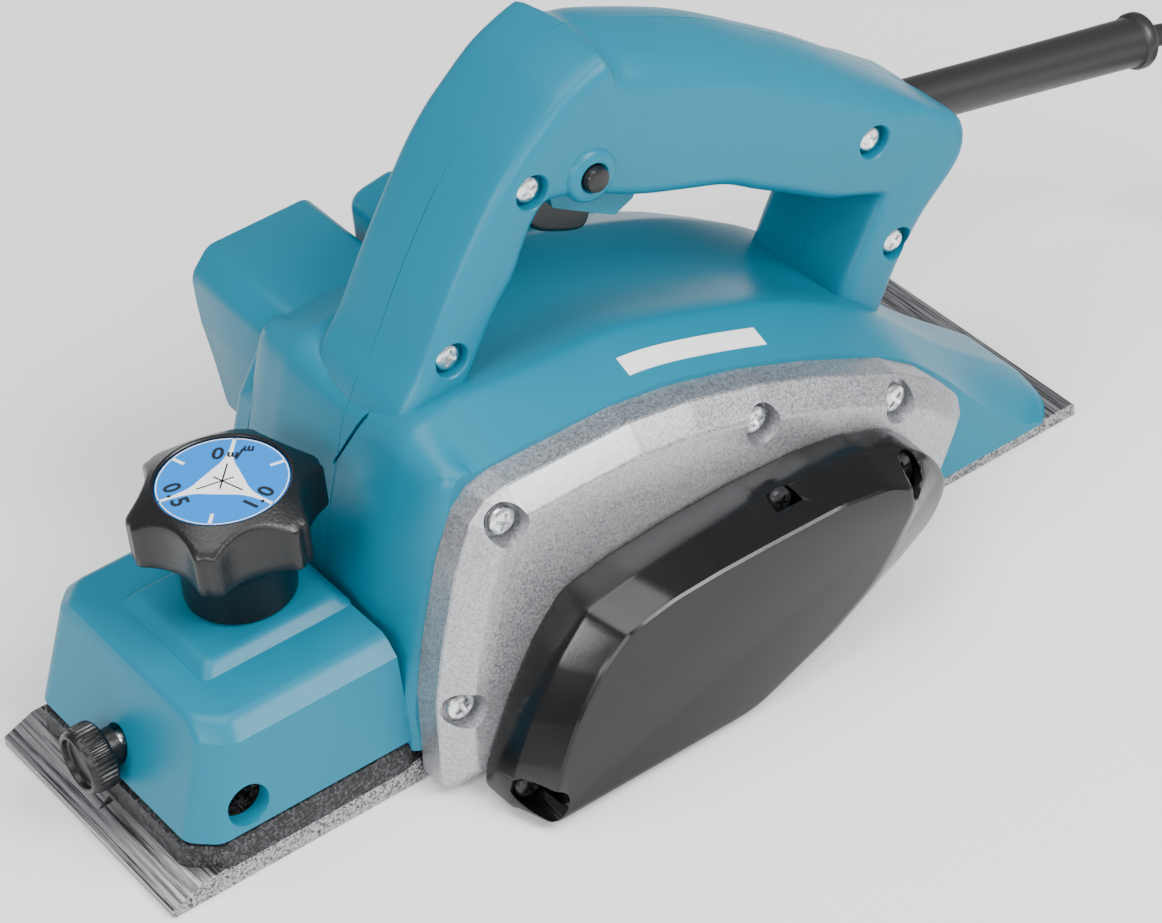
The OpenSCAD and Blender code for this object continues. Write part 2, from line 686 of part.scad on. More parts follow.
module tube(route, d, sides) {
  rings = len(route);
  points = [for (k = [0:rings - 1]) for (j = [0:sides - 1]) ring_point(route, k, j, d / 2, sides)];
  walls = [for (k = [0:rings - 2]) for (j = [0:sides - 1])
    [k * sides + j, k * sides + (j + 1) % sides, (k + 1) * sides + (j + 1) % sides, (k + 1) * sides + j]];
  first = [for (j = [sides - 1:-1:0]) j];
  last = [for (j = [0:sides - 1]) (rings - 1) * sides + j];
  polyhedron(points, concat([first], walls, [last]));
}

module cord_lead() color("black") tube(lead_route, cord_d, 10);

module cord_coil() color("black")
  translate([coil_c[0], coil_c[1], 0]) rotate_extrude() translate([coil_r, 0])
    polygon([[-coil_half_w, 1.5], [1.5 - coil_half_w, 0.2], [coil_half_w - 1.5, 0.2], [coil_half_w, 1.5],
      [coil_half_w, coil_h - 1.5], [coil_half_w - 1.5, coil_h], [1.5 - coil_half_w, coil_h],
      [-coil_half_w, coil_h - 1.5]]);

module cord_tail() color("black") tube(tail_route, cord_d, 10);

// Strap round the coil's bundle, on the side away from the tool
module cable_tie() color("black") translate([coil_c[0], coil_c[1] + coil_r, 0]) difference() {
  block(-2.5, 2.5, -coil_half_w - 1.8, coil_half_w + 1.8, 0, coil_h + 1.2);
  block(-5, 5, -coil_half_w - 0.6, coil_half_w + 0.6, 0.15, coil_h + 0.05);
}

// Generic moulded plug with two round pins
module plug_body() color("black") translate([coil_out_x, plug_y, plug_z]) difference() {
  union() {
    rotate([90, 0, 0]) cylinder(h = 16, r1 = 4.4, r2 = 6);
    hull() {
      translate([0, -14, 0]) rotate([90, 0, 0]) cylinder(h = 1, r = 7);
      block(-13, 13, -42, -30, 0.1 - plug_z, 7.5);
    }
  }
  rotate([90, 0, 0]) cylinder(h = 6, r = cord_d / 2);
}

module plug_pins() color("silver")
  for (side = [-1, 1])
    y_rod(coil_out_x + side * 9.5, plug_z, plug_y - 61, plug_y - 42, 2);

main_housing();
chip_chute();
motor_end_cover();
front_cover_left();
front_cover_right();
knob_bush();
side_bracket();
belt_cover();
rear_base();
handle_left();
handle_right();
handle_screws();
bracket_screws();
belt_cover_screws();
base_screws();
end_cover_screws();
drum_bearings();
motor_bearings();
motor_field();
field_coils();
brush_holders();
carbon_brushes();
brush_caps();
drive_belt();
switch_body();
trigger_pin();
cord_clamp();
cord_guard();
rating_label();
front_base();
base_insert();
knob_spring();
depth_knob();
knob_dial();
knob_stud();
thumb_screw_head();
thumb_screw_stem();
cutter_drum();
planer_blades();
blade_clamps();
blade_bolts();
drum_pulley();
pulley_nut();
armature_shaft();
armature_core();
commutator();
cooling_fan();
motor_pulley();
trigger();
trigger_spring();
lock_button();
button_spring();
cord_lead();
cord_coil();
cord_tail();
cable_tie();
plug_body();
plug_pins();
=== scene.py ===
"""Electric hand planer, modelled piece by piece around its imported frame.

Every size inside the makers is in millimetres in the planer's own frame: X runs forward, Y to the
belt side and Z up from the rear sole. Blender's metres come in through `at` and MM only.
"""

import functools
import json
import math

import bpy
from bpy.props import FloatProperty, FloatVectorProperty, IntProperty, PointerProperty
from mathutils import Matrix, Vector


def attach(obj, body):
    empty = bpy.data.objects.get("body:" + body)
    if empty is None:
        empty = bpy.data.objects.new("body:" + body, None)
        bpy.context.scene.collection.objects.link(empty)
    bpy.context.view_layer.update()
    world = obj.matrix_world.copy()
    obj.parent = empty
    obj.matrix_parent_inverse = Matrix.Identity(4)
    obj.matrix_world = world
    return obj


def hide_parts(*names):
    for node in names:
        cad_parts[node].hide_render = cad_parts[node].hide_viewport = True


bl_info = {
    "name": "Hand Planer Maker",
    "version": (1, 0, 0),
    "blender": (4, 5, 0),
    "location": "3D View > Sidebar > Planer",
    "description": "Models an electric hand planer around its packed frame",
    "category": "Object",
}

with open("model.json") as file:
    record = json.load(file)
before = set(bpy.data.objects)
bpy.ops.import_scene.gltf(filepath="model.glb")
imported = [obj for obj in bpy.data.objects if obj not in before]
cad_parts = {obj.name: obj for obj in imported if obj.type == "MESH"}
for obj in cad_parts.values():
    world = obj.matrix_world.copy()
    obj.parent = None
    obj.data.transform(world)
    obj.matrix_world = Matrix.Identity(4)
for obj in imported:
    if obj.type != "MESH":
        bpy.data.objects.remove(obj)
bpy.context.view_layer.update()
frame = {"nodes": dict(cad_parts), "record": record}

MM = 0.001
TAU = 2 * math.pi
# Points closer together than this are merged into one
MERGE = 0.002


# ---------------------------------------------------------------- sizes and colours

class PlanerSizes(bpy.types.PropertyGroup):
    cord_diameter: FloatProperty(
        name="Cord diameter", description="Outside diameter of the power cord",
        default=0.0064, min=0.005, max=0.008, unit="LENGTH")
    seam: FloatProperty(
        name="Seam", description="Depth of the parting lines of the mouldings",
        default=0.0004, min=0.0, max=0.001, unit="LENGTH")
    knurls: IntProperty(
        name="Knurls", description="Ribs round the thumb screw's head",
        default=40, min=20, max=60)


class PlanerColours(bpy.types.PropertyGroup):
    teal: FloatVectorProperty(
        name="Teal", description="Colour of the mouldings",
        default=(0.0, 0.15, 0.235), size=3, subtype="COLOR", min=0, max=1)
    black: FloatVectorProperty(
        name="Black", description="Colour of the knob, cover and trigger",
        default=(0.0035, 0.0035, 0.004), size=3, subtype="COLOR", min=0, max=1)
    casting: FloatVectorProperty(
        name="Casting", description="Colour of the silver bracket",
        default=(0.4, 0.405, 0.42), size=3, subtype="COLOR", min=0, max=1)
    dial: FloatVectorProperty(
        name="Dial", description="Ground colour of the depth dial",
        default=(0.0, 0.19, 0.62), size=3, subtype="COLOR", min=0, max=1)


# ---------------------------------------------------------------- shader writing

class Reading:
    """A value inside a material that Python's arithmetic works on."""

    def __init__(self, finish, socket):
        self.finish, self.socket = finish, socket

    def math(self, operation, other):
        node = self.finish.add("ShaderNodeMath", {"operation": operation}, {0: self, 1: other})
        return Reading(self.finish, node.outputs[0])

    def __add__(self, other):
        return self.math("ADD", other)

    def __mul__(self, other):
        return self.math("MULTIPLY", other)

    __radd__, __rmul__ = __add__, __mul__

    def step(self, low, high):
        """0 below low and 1 above high, straight between."""
        node = self.finish.add("ShaderNodeMapRange", {"clamp": True},
                               {"Value": self, "From Min": low, "From Max": high})
        return Reading(self.finish, node.outputs[0])


class Finish:
    """A surface under construction: one material with its Principled shader."""

    def __init__(self, name, colour, roughness, **sockets):
        self.material = bpy.data.materials.new(name)
        self.material.use_nodes = True
        self.nodes = self.material.node_tree.nodes
        self.links = self.material.node_tree.links
        self.shader = self.nodes["Principled BSDF"]
        self.set("Base Color", (*colour, 1))
        self.set("Roughness", roughness)
        for key, value in sockets.items():
            self.set(key.replace("_", " "), value)

    def set(self, key, value):
        self.feed(self.shader, key, value)

    def feed(self, node, key, value):
        socket = node.inputs[key]
        if isinstance(value, Reading):
            self.links.new(value.socket, socket)
        else:
            socket.default_value = value

    def add(self, kind, settings, inputs):
        """A node of a type, with its settings made first and then its sockets fed."""
        node = self.nodes.new(kind)
        for key, value in settings.items():
            setattr(node, key, value)
        for key, value in inputs.items():
            self.feed(node, key, value)
        return node

    def place(self, scale=(1, 1, 1)):
        """Object coordinates, stretched."""
        here = self.add("ShaderNodeTexCoord", {}, {}).outputs["Object"]
        node = self.add("ShaderNodeMapping", {}, {
            "Vector": Reading(self, here), "Scale": scale})
        return Reading(self, node.outputs[0])

    def noise(self, scale, detail=2.0, where=None, rough=0.5):
        node = self.add("ShaderNodeTexNoise", {}, {
            "Vector": where or self.place(), "Scale": scale, "Detail": detail, "Roughness": rough})
        return Reading(self, node.outputs["Fac"])

    def cells(self, scale):
        node = self.add("ShaderNodeTexVoronoi", {}, {"Vector": self.place(), "Scale": scale})
        return Reading(self, node.outputs["Color"])

    def blend(self, share, first, second):
        node = self.add("ShaderNodeMix", {"data_type": "RGBA"}, {0: share, 6: first, 7: second})
        return Reading(self, node.outputs[2])

    def bump(self, height, depth, strength=1.0):
        node = self.add("ShaderNodeBump", {}, {
            "Height": height, "Distance": depth, "Strength": strength})
        self.set("Normal", Reading(self, node.outputs[0]))


def shade(colour, factor):
    """A colour made darker or lighter, with its alpha."""
    return (*[min(1.0, c * factor) for c in colour[:3]], 1)


def make_finishes():
    """Every finish of the planer, by the record's material slot."""
    colours = bpy.context.scene.planer_colours
    made = {}

    teal = Finish("teal_moulding", colours.teal, 0.34, Specular_IOR_Level=0.28)
    grain = teal.noise(2600, 2.0)
    cloud = teal.noise(9, 2.0)
    teal.set("Base Color", teal.blend(cloud.step(0.3, 0.7), shade(colours.teal, 0.94),
                                      shade(colours.teal, 1.05)))
    teal.set("Roughness", grain.step(0.3, 0.7) * 0.1 + 0.3)
    teal.bump(grain, 0.00006, 0.5)
    made["teal_plastic"] = teal

    black = Finish("black_moulding", colours.black, 0.34, Specular_IOR_Level=0.45)
    hide = black.noise(1500, 3.0)
    black.set("Roughness", hide * 0.2 + 0.22)
    black.bump(hide, 0.00012, 0.5)
    made["black_plastic"] = black

    gloss = Finish("black_cover", colours.black, 0.2, Specular_IOR_Level=0.42)
    worn = gloss.noise(45, 3.0)
    gloss.set("Roughness", worn * 0.12 + 0.14)
    gloss.bump(gloss.noise(900, 2.0), 0.00003, 0.4)
    made["black_gloss"] = gloss

    rubber = Finish("black_rubber", (0.012, 0.011, 0.012), 0.42)
    rubber.bump(rubber.noise(700, 2.0), 0.00006, 0.5)
    made["black_rubber"] = rubber

    cast = Finish("silver_casting", colours.casting, 0.4, Metallic=0.8)
    sand = cast.cells(2200)
    cast.set("Base Color", cast.blend(sand.step(0.1, 0.9), shade(colours.casting, 0.72),
                                      shade(colours.casting, 1.25)))
    cast.set("Roughness", sand * 0.2 + 0.3)
    cast.bump(sand, 0.00004, 0.35)
    made["cast_silver"] = cast

    milled = Finish("milled_aluminium", (0.5, 0.5, 0.51), 0.3, Metallic=0.9)
    lines = milled.noise(22, 5.0, milled.place((60, 0.8, 60)), 0.8)
    milled.set("Base Color", milled.blend(lines.step(0.42, 0.56), (0.05, 0.05, 0.055, 1),
                                          (0.46, 0.46, 0.47, 1)))
    milled.set("Roughness", lines * 0.3 + 0.18)
    milled.bump(lines, 0.0003, 0.6)
    made["machined_aluminium"] = milled

    rim = Finish("dark_casting", (0.05, 0.05, 0.055), 0.45, Metallic=0.2)
    speck = rim.cells(1500)
    rim.set("Base Color", rim.blend(speck.step(0.45, 1.0), (0.006, 0.006, 0.007, 1), (0.08, 0.08, 0.086, 1)))
    rim.set("Roughness", speck * 0.3 + 0.3)
    rim.bump(speck, 0.0002, 0.7)
    made["front_casting"] = rim

    zinc = Finish("zinc_screw", (0.78, 0.79, 0.8), 0.22, Metallic=1.0)
    zinc.set("Roughness", zinc.noise(900, 2.0) * 0.25 + 0.12)
    made["zinc_steel"] = zinc

    dark = Finish("black_screw", (0.03, 0.03, 0.032), 0.33, Metallic=0.6)
    dark.set("Roughness", dark.noise(800, 2.0) * 0.2 + 0.22)
    made["black_steel"] = dark

    dial = Finish("dial_ground", colours.dial, 0.35, Specular_IOR_Level=0.25)
    dial.set("Roughness", dial.noise(500) * 0.08 + 0.3)
    made["dial_blue"] = dial

    for slot, colour, rough, metal, scale in (
            ("white_label", (0.8, 0.8, 0.8), 0.5, 0.0, 600),
            ("steel", (0.5, 0.5, 0.51), 0.3, 1.0, 300),
            ("blade_steel", (0.7, 0.7, 0.72), 0.18, 1.0, 700),
            ("core_steel", (0.2, 0.2, 0.21), 0.45, 0.9, 500),
            ("copper", (0.6, 0.24, 0.12), 0.35, 1.0, 900),
            ("brass", (0.65, 0.48, 0.2), 0.3, 1.0, 700),
            ("carbon", (0.03, 0.03, 0.03), 0.6, 0.1, 800),
            ("dial_white", (0.85, 0.86, 0.88), 0.35, 0.0, 500),
            ("dial_ink", (0.01, 0.01, 0.012), 0.4, 0.0, 500),
            ("shadow_gap", (0.004, 0.004, 0.005), 0.8, 0.0, 300)):
        plain = Finish(slot, colour, rough, Metallic=metal)
        wear = plain.noise(scale, 3.0)
        plain.set("Roughness", wear * 0.16 + (rough - 0.08))
        plain.bump(wear, 0.00004, 0.3)
        made[slot] = plain
    return {slot: finish.material for slot, finish in made.items()}


# ---------------------------------------------------------------- shaping helpers

def at(x, y, z):
    return Vector((x * MM, y * MM, z * MM))


def clear():
    """Leaves edit mode and selects nothing."""
    if bpy.context.object and bpy.context.object.mode != "OBJECT":
        bpy.ops.object.mode_set(mode="OBJECT")
    bpy.ops.object.select_all(action="DESELECT")


def pick(*objects):
    """Selects these objects alone, the first one active."""
    clear()
    for obj in objects:
        obj.select_set(True)
    bpy.context.view_layer.objects.active = objects[0]
    return objects[0]


def open_all(obj):
    """Into edit mode with everything selected."""
    pick(obj)
    bpy.ops.object.mode_set(mode="EDIT")
    bpy.context.tool_settings.mesh_select_mode = (True, False, False)
    bpy.ops.mesh.select_all(action="SELECT")


def close_up(obj):
    """Merges what meets, fills what is open, and turns every face outwards."""
    open_all(obj)
    bpy.ops.mesh.remove_doubles(threshold=MERGE * MM)
    bpy.ops.mesh.fill_holes(sides=0)
    bpy.ops.mesh.select_all(action="SELECT")
    bpy.ops.mesh.normals_make_consistent(inside=False)
    bpy.ops.object.mode_set(mode="OBJECT")
    return obj


def skin(name, rings, closed=True):
    """A solid through rings of points: a grid whose points are moved onto the rings, then closed."""
    across = len(rings[0]) + closed
    clear()
    bpy.ops.mesh.primitive_grid_add(x_subdivisions=across - 1, y_subdivisions=len(rings) - 1, size=1)
    obj = bpy.context.object
    obj.name = obj.data.name = name
    points = [p for ring in rings for p in list(ring) + list(ring[:closed])]
    for vertex, p in zip(obj.data.vertices, points):
        vertex.co = at(*p)
    return close_up(obj)


def turned(name, profile, centre, along, steps=48):
    """A round solid: the half profile of (radius, height) is spun about the line `along`."""
    clear()
    count = len(profile)
    bpy.ops.mesh.primitive_circle_add(vertices=count, fill_type="NOTHING")
    obj = bpy.context.object
    obj.name = obj.data.name = name
    axis = Vector(along).normalized()
    side = axis.orthogonal().normalized()
    for vertex, (radius, height) in zip(obj.data.vertices, profile):
        vertex.co = at(*(Vector(centre) + side * radius + axis * height))
    for vertex in obj.data.vertices:
        vertex.select = vertex.index in (0, count - 1)
    for edge in obj.data.edges:
        edge.select = set(edge.vertices) == {0, count - 1}
    bpy.ops.object.mode_set(mode="EDIT")
    bpy.context.tool_settings.mesh_select_mode = (False, True, False)
    bpy.ops.mesh.delete(type="EDGE")
    bpy.ops.mesh.select_all(action="SELECT")
    bpy.ops.mesh.spin(steps=steps, angle=TAU, center=at(*centre), axis=axis)
    return close_up(obj)


def block(name, low, high):
    """A box between two corners."""
    clear()
    bpy.ops.mesh.primitive_cube_add(size=1)
    obj = bpy.context.object
    obj.name = obj.data.name = name
    for vertex in obj.data.vertices:
        vertex.co = at(*[h if c > 0 else l for c, l, h in zip(vertex.co, low, high)])
    return obj


def prism(name, outline, levels, axis, corner=0.0, steps=4):
    """A solid from an outline: at each level it stands in by that much, its corners rounded."""
    order = {"x": (2, 0, 1), "y": (0, 2, 1), "z": (0, 1, 2)}[axis]
    rings = []
    for level, step in levels:
        ring = inset(outline, step) if step else outline
        ring = rounded(ring, corner, steps) if corner else ring
        rings.append([tuple((a, b, level)[k] for k in order) for a, b in ring])
    return skin(name, rings)


def rod(name, centre, along, radius, low, high, steps=40):
    """A plain round bar along a line, from one height to another."""
    return turned(name, [(0, low), (radius, low), (radius, high), (0, high)], centre, along, steps)


def inset(outline, step):
    """A closed outline moved inwards by a step, corners kept sharp."""
    count = len(outline)
    turn = sum(outline[k - 1][0] * outline[k][1] - outline[k][0] * outline[k - 1][1] for k in range(count))
    sign = 1 if turn > 0 else -1
    moved = []
    for k in range(count):
        (ax, ay), (bx, by), (cx, cy) = outline[k - 1], outline[k], outline[(k + 1) % count]
        first = Vector((ay - by, bx - ax)).normalized() * sign
        second = Vector((by - cy, cx - bx)).normalized() * sign
        share = step / max(0.35, 1 + first.dot(second))
        moved.append((bx + (first.x + second.x) * share, by + (first.y + second.y) * share))
    return moved


def rounded(outline, radius, steps=5):
    """A closed outline with each corner replaced by an arc."""
    made, count = [], len(outline)
    for k in range(count):
        before, corner, after = (Vector(outline[(k + s) % count]) for s in (-1, 0, 1))
        first, second = before - corner, after - corner
        angle = first.angle(second)
        reach = min(radius / math.tan(angle / 2), first.length * 0.48, second.length * 0.48)
        start, end = corner + first.normalized() * reach, corner + second.normalized() * reach
        for s in range(steps + 1):
            t = s / steps
            made.append(tuple(start * (1 - t) ** 2 + corner * 2 * t * (1 - t) + end * t ** 2))
    return made


def flow(points, spacing):
    """A smooth line through points of any dimension, resampled at about one spacing."""
    points = [Vector(p) for p in points]
    padded = [points[0] * 2 - points[1], *points, points[-1] * 2 - points[-2]]
    fine = []
    for a, b, c, d in zip(padded, padded[1:], padded[2:], padded[3:]):
        for s in range(16):
            t = s / 16
            fine.append(0.5 * (2 * b + (c - a) * t + (2 * a - 5 * b + 4 * c - d) * t ** 2
                               + (3 * b - a - 3 * c + d) * t ** 3))
    fine.append(points[-1])
    far = [0.0]
    for a, b in zip(fine, fine[1:]):
        far.append(far[-1] + (b - a).length)
    count = max(1, round(far[-1] / spacing))
    made, k = [], 0
    for s in range(count + 1):
        goal = far[-1] * s / count
        while k < len(far) - 2 and far[k + 1] < goal:
            k += 1
        t = (goal - far[k]) / max(1e-9, far[k + 1] - far[k])
        made.append(tuple(fine[k].lerp(fine[k + 1], min(1, t))))
    return made


def ease(t):
    """0 to 1 with soft ends."""
    t = min(1.0, max(0.0, t))
    return t * t * (3 - 2 * t)


def lip(low, high, radius, steps=4):
    """Levels of a prism between low and high with a quarter round at each end."""
    quarter = [k / steps * math.pi / 2 for k in range(steps + 1)]
    curve = [(radius * (1 - math.cos(a)), radius * (1 - math.sin(a))) for a in quarter]
    return [(low + up, step) for up, step in curve] + [(high - up, step) for up, step in reversed(curve)]


def join(name, *objects):
    """Several objects made into one, each with its own mesh until then."""
    pick(*objects)
    bpy.ops.object.join()
    obj = bpy.context.object
    obj.name = obj.data.name = name
    return obj


def carve(obj, *tools, operation="DIFFERENCE"):
    """Cuts each tool out of the object, or joins it on, and removes the tool."""
    for tool in tools:
        step = obj.modifiers.new("carve", "BOOLEAN")
        step.operation, step.solver, step.object = operation, "MANIFOLD", tool
        pick(obj)
        bpy.ops.object.modifier_apply(modifier=step.name)
        bpy.data.objects.remove(tool)
    return obj


def soften(obj, radius, angle=35, segments=2):
    """Rounds the object's edges that turn by more than an angle."""
    step = obj.modifiers.new("soften", "BEVEL")
    step.width, step.segments, step.limit_method = radius * MM, segments, "ANGLE"
    step.angle_limit = math.radians(angle)
    step.use_clamp_overlap = True
    step.miter_outer = "MITER_ARC"
    pick(obj)
    bpy.ops.object.modifier_apply(modifier=step.name)
    return obj


def smooth(obj, angle=32):
    """Smooth shading, with edges that turn by more than the angle kept sharp."""
    pick(obj)
    bpy.ops.object.shade_smooth_by_angle(angle=math.radians(angle))
    return obj


def finish_piece(obj, slot, body, *nodes, angle=32, material=None):
    """Gives a finished piece its material, its body and the CAD nodes it stands for."""
    if obj.type == "MESH":
        smooth(obj, angle)
    if not any(obj.data.materials):
        obj.data.materials.clear()
        obj.data.materials.append(FINISHES[material or slot])
    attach(obj, body)
    if nodes:
        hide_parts(*nodes)
    return obj


FINISHES = {}


# ---------------------------------------------------------------- outlines shared by pieces

# Side outlines as X and Z
FRONT_WALL = [(72, 3), (71.5, 16), (71, 30), (67, 45), (60, 68), (55, 84.5), (53.3, 88.8), (50.5, 91.5)]
DECK = [(50.5, 91.5), (47, 92.6), (33, 93.4), (19, 93), (5, 92), (-12, 90), (-35, 83), (-60, 73), (-79, 62),
        (-90, 54), (-100, 44), (-110, 34), (-119, 26), (-128, 18.6), (-134, 13.6), (-138, 10), (-140.4, 6.6),
        (-141, 4)]
RIDGE_Y = 25
HALF_W = 41
SIDE_Y = 42
BRACKET = [(71.5, 1), (70, 30), (66.5, 45), (60, 66), (54, 79), (49, 83.5), (42, 85), (6, 84.5), (-12, 81.5),
           (-33, 75.5), (-53, 67.5), (-77, 56), (-88, 48), (-97, 38), (-98, 31), (-90, 16), (-78, 6),
           (-60, 1)]
# The cover's foot and face, point by point, as X and Z
COVER = [((63, 2), (59.5, 2)), ((61.5, 9), (57, 10)), ((59, 15), (54, 18)), ((53, 27), (47, 32)),
         ((44, 41), (38, 43)), ((36.5, 48.8), (32, 47.6)), ((34, 51), (30, 49)), ((30.5, 52), (26, 50)),
         ((20, 54), (16, 52)), ((1, 55.5), (2, 52.6)), ((-18, 56), (-12, 52.5)), ((-38, 55), (-36, 52)),
         ((-51, 52.8), (-50, 49.6)), ((-54, 52), (-52, 49)), ((-58, 50.2), (-55, 47.5)),
         ((-67, 47), (-60, 44)), ((-76, 38), (-59.5, 38)), ((-80, 28), (-52, 28.5)), ((-76, 20), (-44, 20)),
         ((-60, 10), (-30, 12)), ((-20, 2), (-6, 2))]
SHOULDER = [(9, 50), (9, 92), (-4, 94), (-30, 84), (-50, 66), (-50, 50)]
WALL = [(72, 3), (71, 30), (67, 45), (60, 66), (51, 79), (47, 84), (43, 85), (10.5, 85), (8, 66), (8, 4.2),
        (22.5, 4.2), (22.5, 3)]
# Axes and screw centres
MOTOR = (-38, 0, 38)
DRUM = (34, 0, 22.4)
KNOB = (91.5, 0, 0)
ROD = (119.5, 0, 21.5)
BUTTON = (-10, 0, 134)
HANDLE_SCREWS = [(7, 137), (35, 101), (-97, 102), (-103, 67)]
BRACKET_SCREWS = [(64, 28), (46, 77), (-30, 67), (-74, 50)]
COVER_SCREWS = [(57, 8), (-25, 53), (-63, 43)]
END_TURNS = (45, 135, 225, 315)
GUARD_ROOT, GUARD_TIP = Vector((-127, 0, 91)), Vector((-206, 0, 74))


def housing_outline():
    """The housing's side outline with its inward normals, front wall first, then deck and tail."""
    wall, deck = flow(FRONT_WALL, 3), flow(DECK, 2.5)
    line = wall[:-1] + deck
    made = []
    for k, (x, z) in enumerate(line):
        a, b = line[max(0, k - 1)], line[min(len(line) - 1, k + 1)]
        along = Vector((b[0] - a[0], b[1] - a[1])).normalized()
        made.append((x, z, along.y, -along.x))
    return made


def housing_point(x, z, nx, nz, y, depth=0.0):
    """A point of the outline carried to a width, with the ridge, the valley and the rounded nose."""
    out = abs(y)
    lid = abs(nz)
    brow = max(0.0, 1 - lid) if x > 45 else 0.0
    slope = 0.42 * math.log1p(math.exp(min(30, (out - RIDGE_Y) / 0.7))) * 0.7 * lid
    valley = 4.5 * (0.5 + 0.5 * math.cos(math.pi * min(1, out / RIDGE_Y))) * lid * ease((x + 95) / 35)
    swell = 3 * math.sqrt(max(0.0, 1 - (max(0.0, out - 33) / 9) ** 2)) * brow
    step = slope + valley - swell + depth
    tail = ease((-98 - x) / 38)
    px = x - abs(nx) * step * (1 if x > 0 else -1)
    px += tail * (8 * ease((4 - y) / 8) + 7 * max(0, (out - 31) / 11) ** 2)
    return px, y, z - abs(nz) * step


# ---------------------------------------------------------------- makers

def make_stage():
    """The camera, a plain floor, a pale world and four soft lights."""
    camera_data = bpy.data.cameras.new("studio_camera")
    camera = bpy.data.objects.new("studio_camera", camera_data)
    bpy.context.scene.collection.objects.link(camera)
    azimuth, elevation, roll = (math.radians(a) for a in (147.42, 39.01, -6.07))
    back = Vector((math.sin(azimuth) * math.cos(elevation), -math.cos(azimuth) * math.cos(elevation),
                   math.sin(elevation)))
    right = (-back).cross(Vector((0, 0, 1))).normalized()
    up = right.cross(-back)
    across = right * math.cos(roll) + up * math.sin(roll)
    upright = up * math.cos(roll) - right * math.sin(roll)
    turn = Matrix((across, upright, back)).transposed().to_4x4()
    camera.matrix_world = Matrix.Translation(at(0.7, 18.7, 50.1) + back * 1023.2 * MM) @ turn
    camera_data.sensor_width, camera_data.lens = 36, 125.43
    camera_data.clip_start, camera_data.clip_end = 0.05, 50
    bpy.context.scene.camera = camera

    bpy.ops.mesh.primitive_plane_add(size=8, location=(0, 0, -0.0002))
    floor = bpy.context.object
    floor.name = "studio_floor"
    pale = Finish("pale_floor", (0.86, 0.86, 0.86), 0.7)
    floor.data.materials.append(pale.material)

    world = bpy.data.worlds.new("studio_world")
    world.use_nodes = True
    world.node_tree.nodes["Background"].inputs[0].default_value = (0.95, 0.97, 1, 1)
    world.node_tree.nodes["Background"].inputs[1].default_value = 0.42
    bpy.context.scene.world = world
    for name, place, aim, size, power in (
            ("key_softbox", (-0.45, 0.85, 1.05), (0, 0, 0.05), 0.75, 26),
            ("front_softbox", (1.2, 0.35, 0.75), (0, 0, 0.05), 0.5, 9),
            ("overhead_softbox", (0.25, -0.1, 1.5), (0, 0, 0.06), 1.0, 16),
            ("camera_fill", (0.75, 1.25, 0.8), (0, 0, 0.06), 0.9, 12)):
        data = bpy.data.lights.new(name, "AREA")
        data.energy, data.size = power, size
        light = bpy.data.objects.new(name, data)
        bpy.context.scene.collection.objects.link(light)
        light.location = place
        light.rotation_euler = (Vector(place) - Vector(aim)).to_track_quat("Z", "Y").to_euler()


def coil_path():
    """The cord's whole route from the guard's mouth to the plug."""
    cx, cy, outer, pitch = -287, 66, 48.75, 6.5
    lead = [(-206, 0, 74), (-214, 0, 72), (-222, 0, 69), (-229, 0.5, 64), (-234, 1.5, 57), (-237, 3, 49),
            (-238.25, 6, 40), (-238.25, 10, 31), (-238.25, 15.5, 22.5), (-238.25, 23, 14.5), (-238.25, 32, 8),
            (-238.25, 42, 4.4), (-238.25, 52, 3.5)]
    coil, per_turn = [], 24
    bottom, top = 3.5, 3.0
    for k in range(int((bottom + top) * per_turn) + 1):
        turns = k / per_turn
        if turns <= bottom:
            radius = outer - pitch * turns
        else:
            radius = outer - pitch * bottom + pitch * (turns - bottom)
        height = 3.4 + 6.5 * ease((turns - bottom + 0.35) / 0.35)
        angle = TAU * turns
        coil.append((cx + radius * math.cos(angle), cy + radius * math.sin(angle), height))
    end = coil[-1]
    tail = [(end[0], 56, 9.6), (end[0], 42, 9), (end[0], 28, 8.2), (end[0], 14, 7.7), (end[0], 0, 7.6)]
    return flow(lead + coil[1:] + tail, 5)


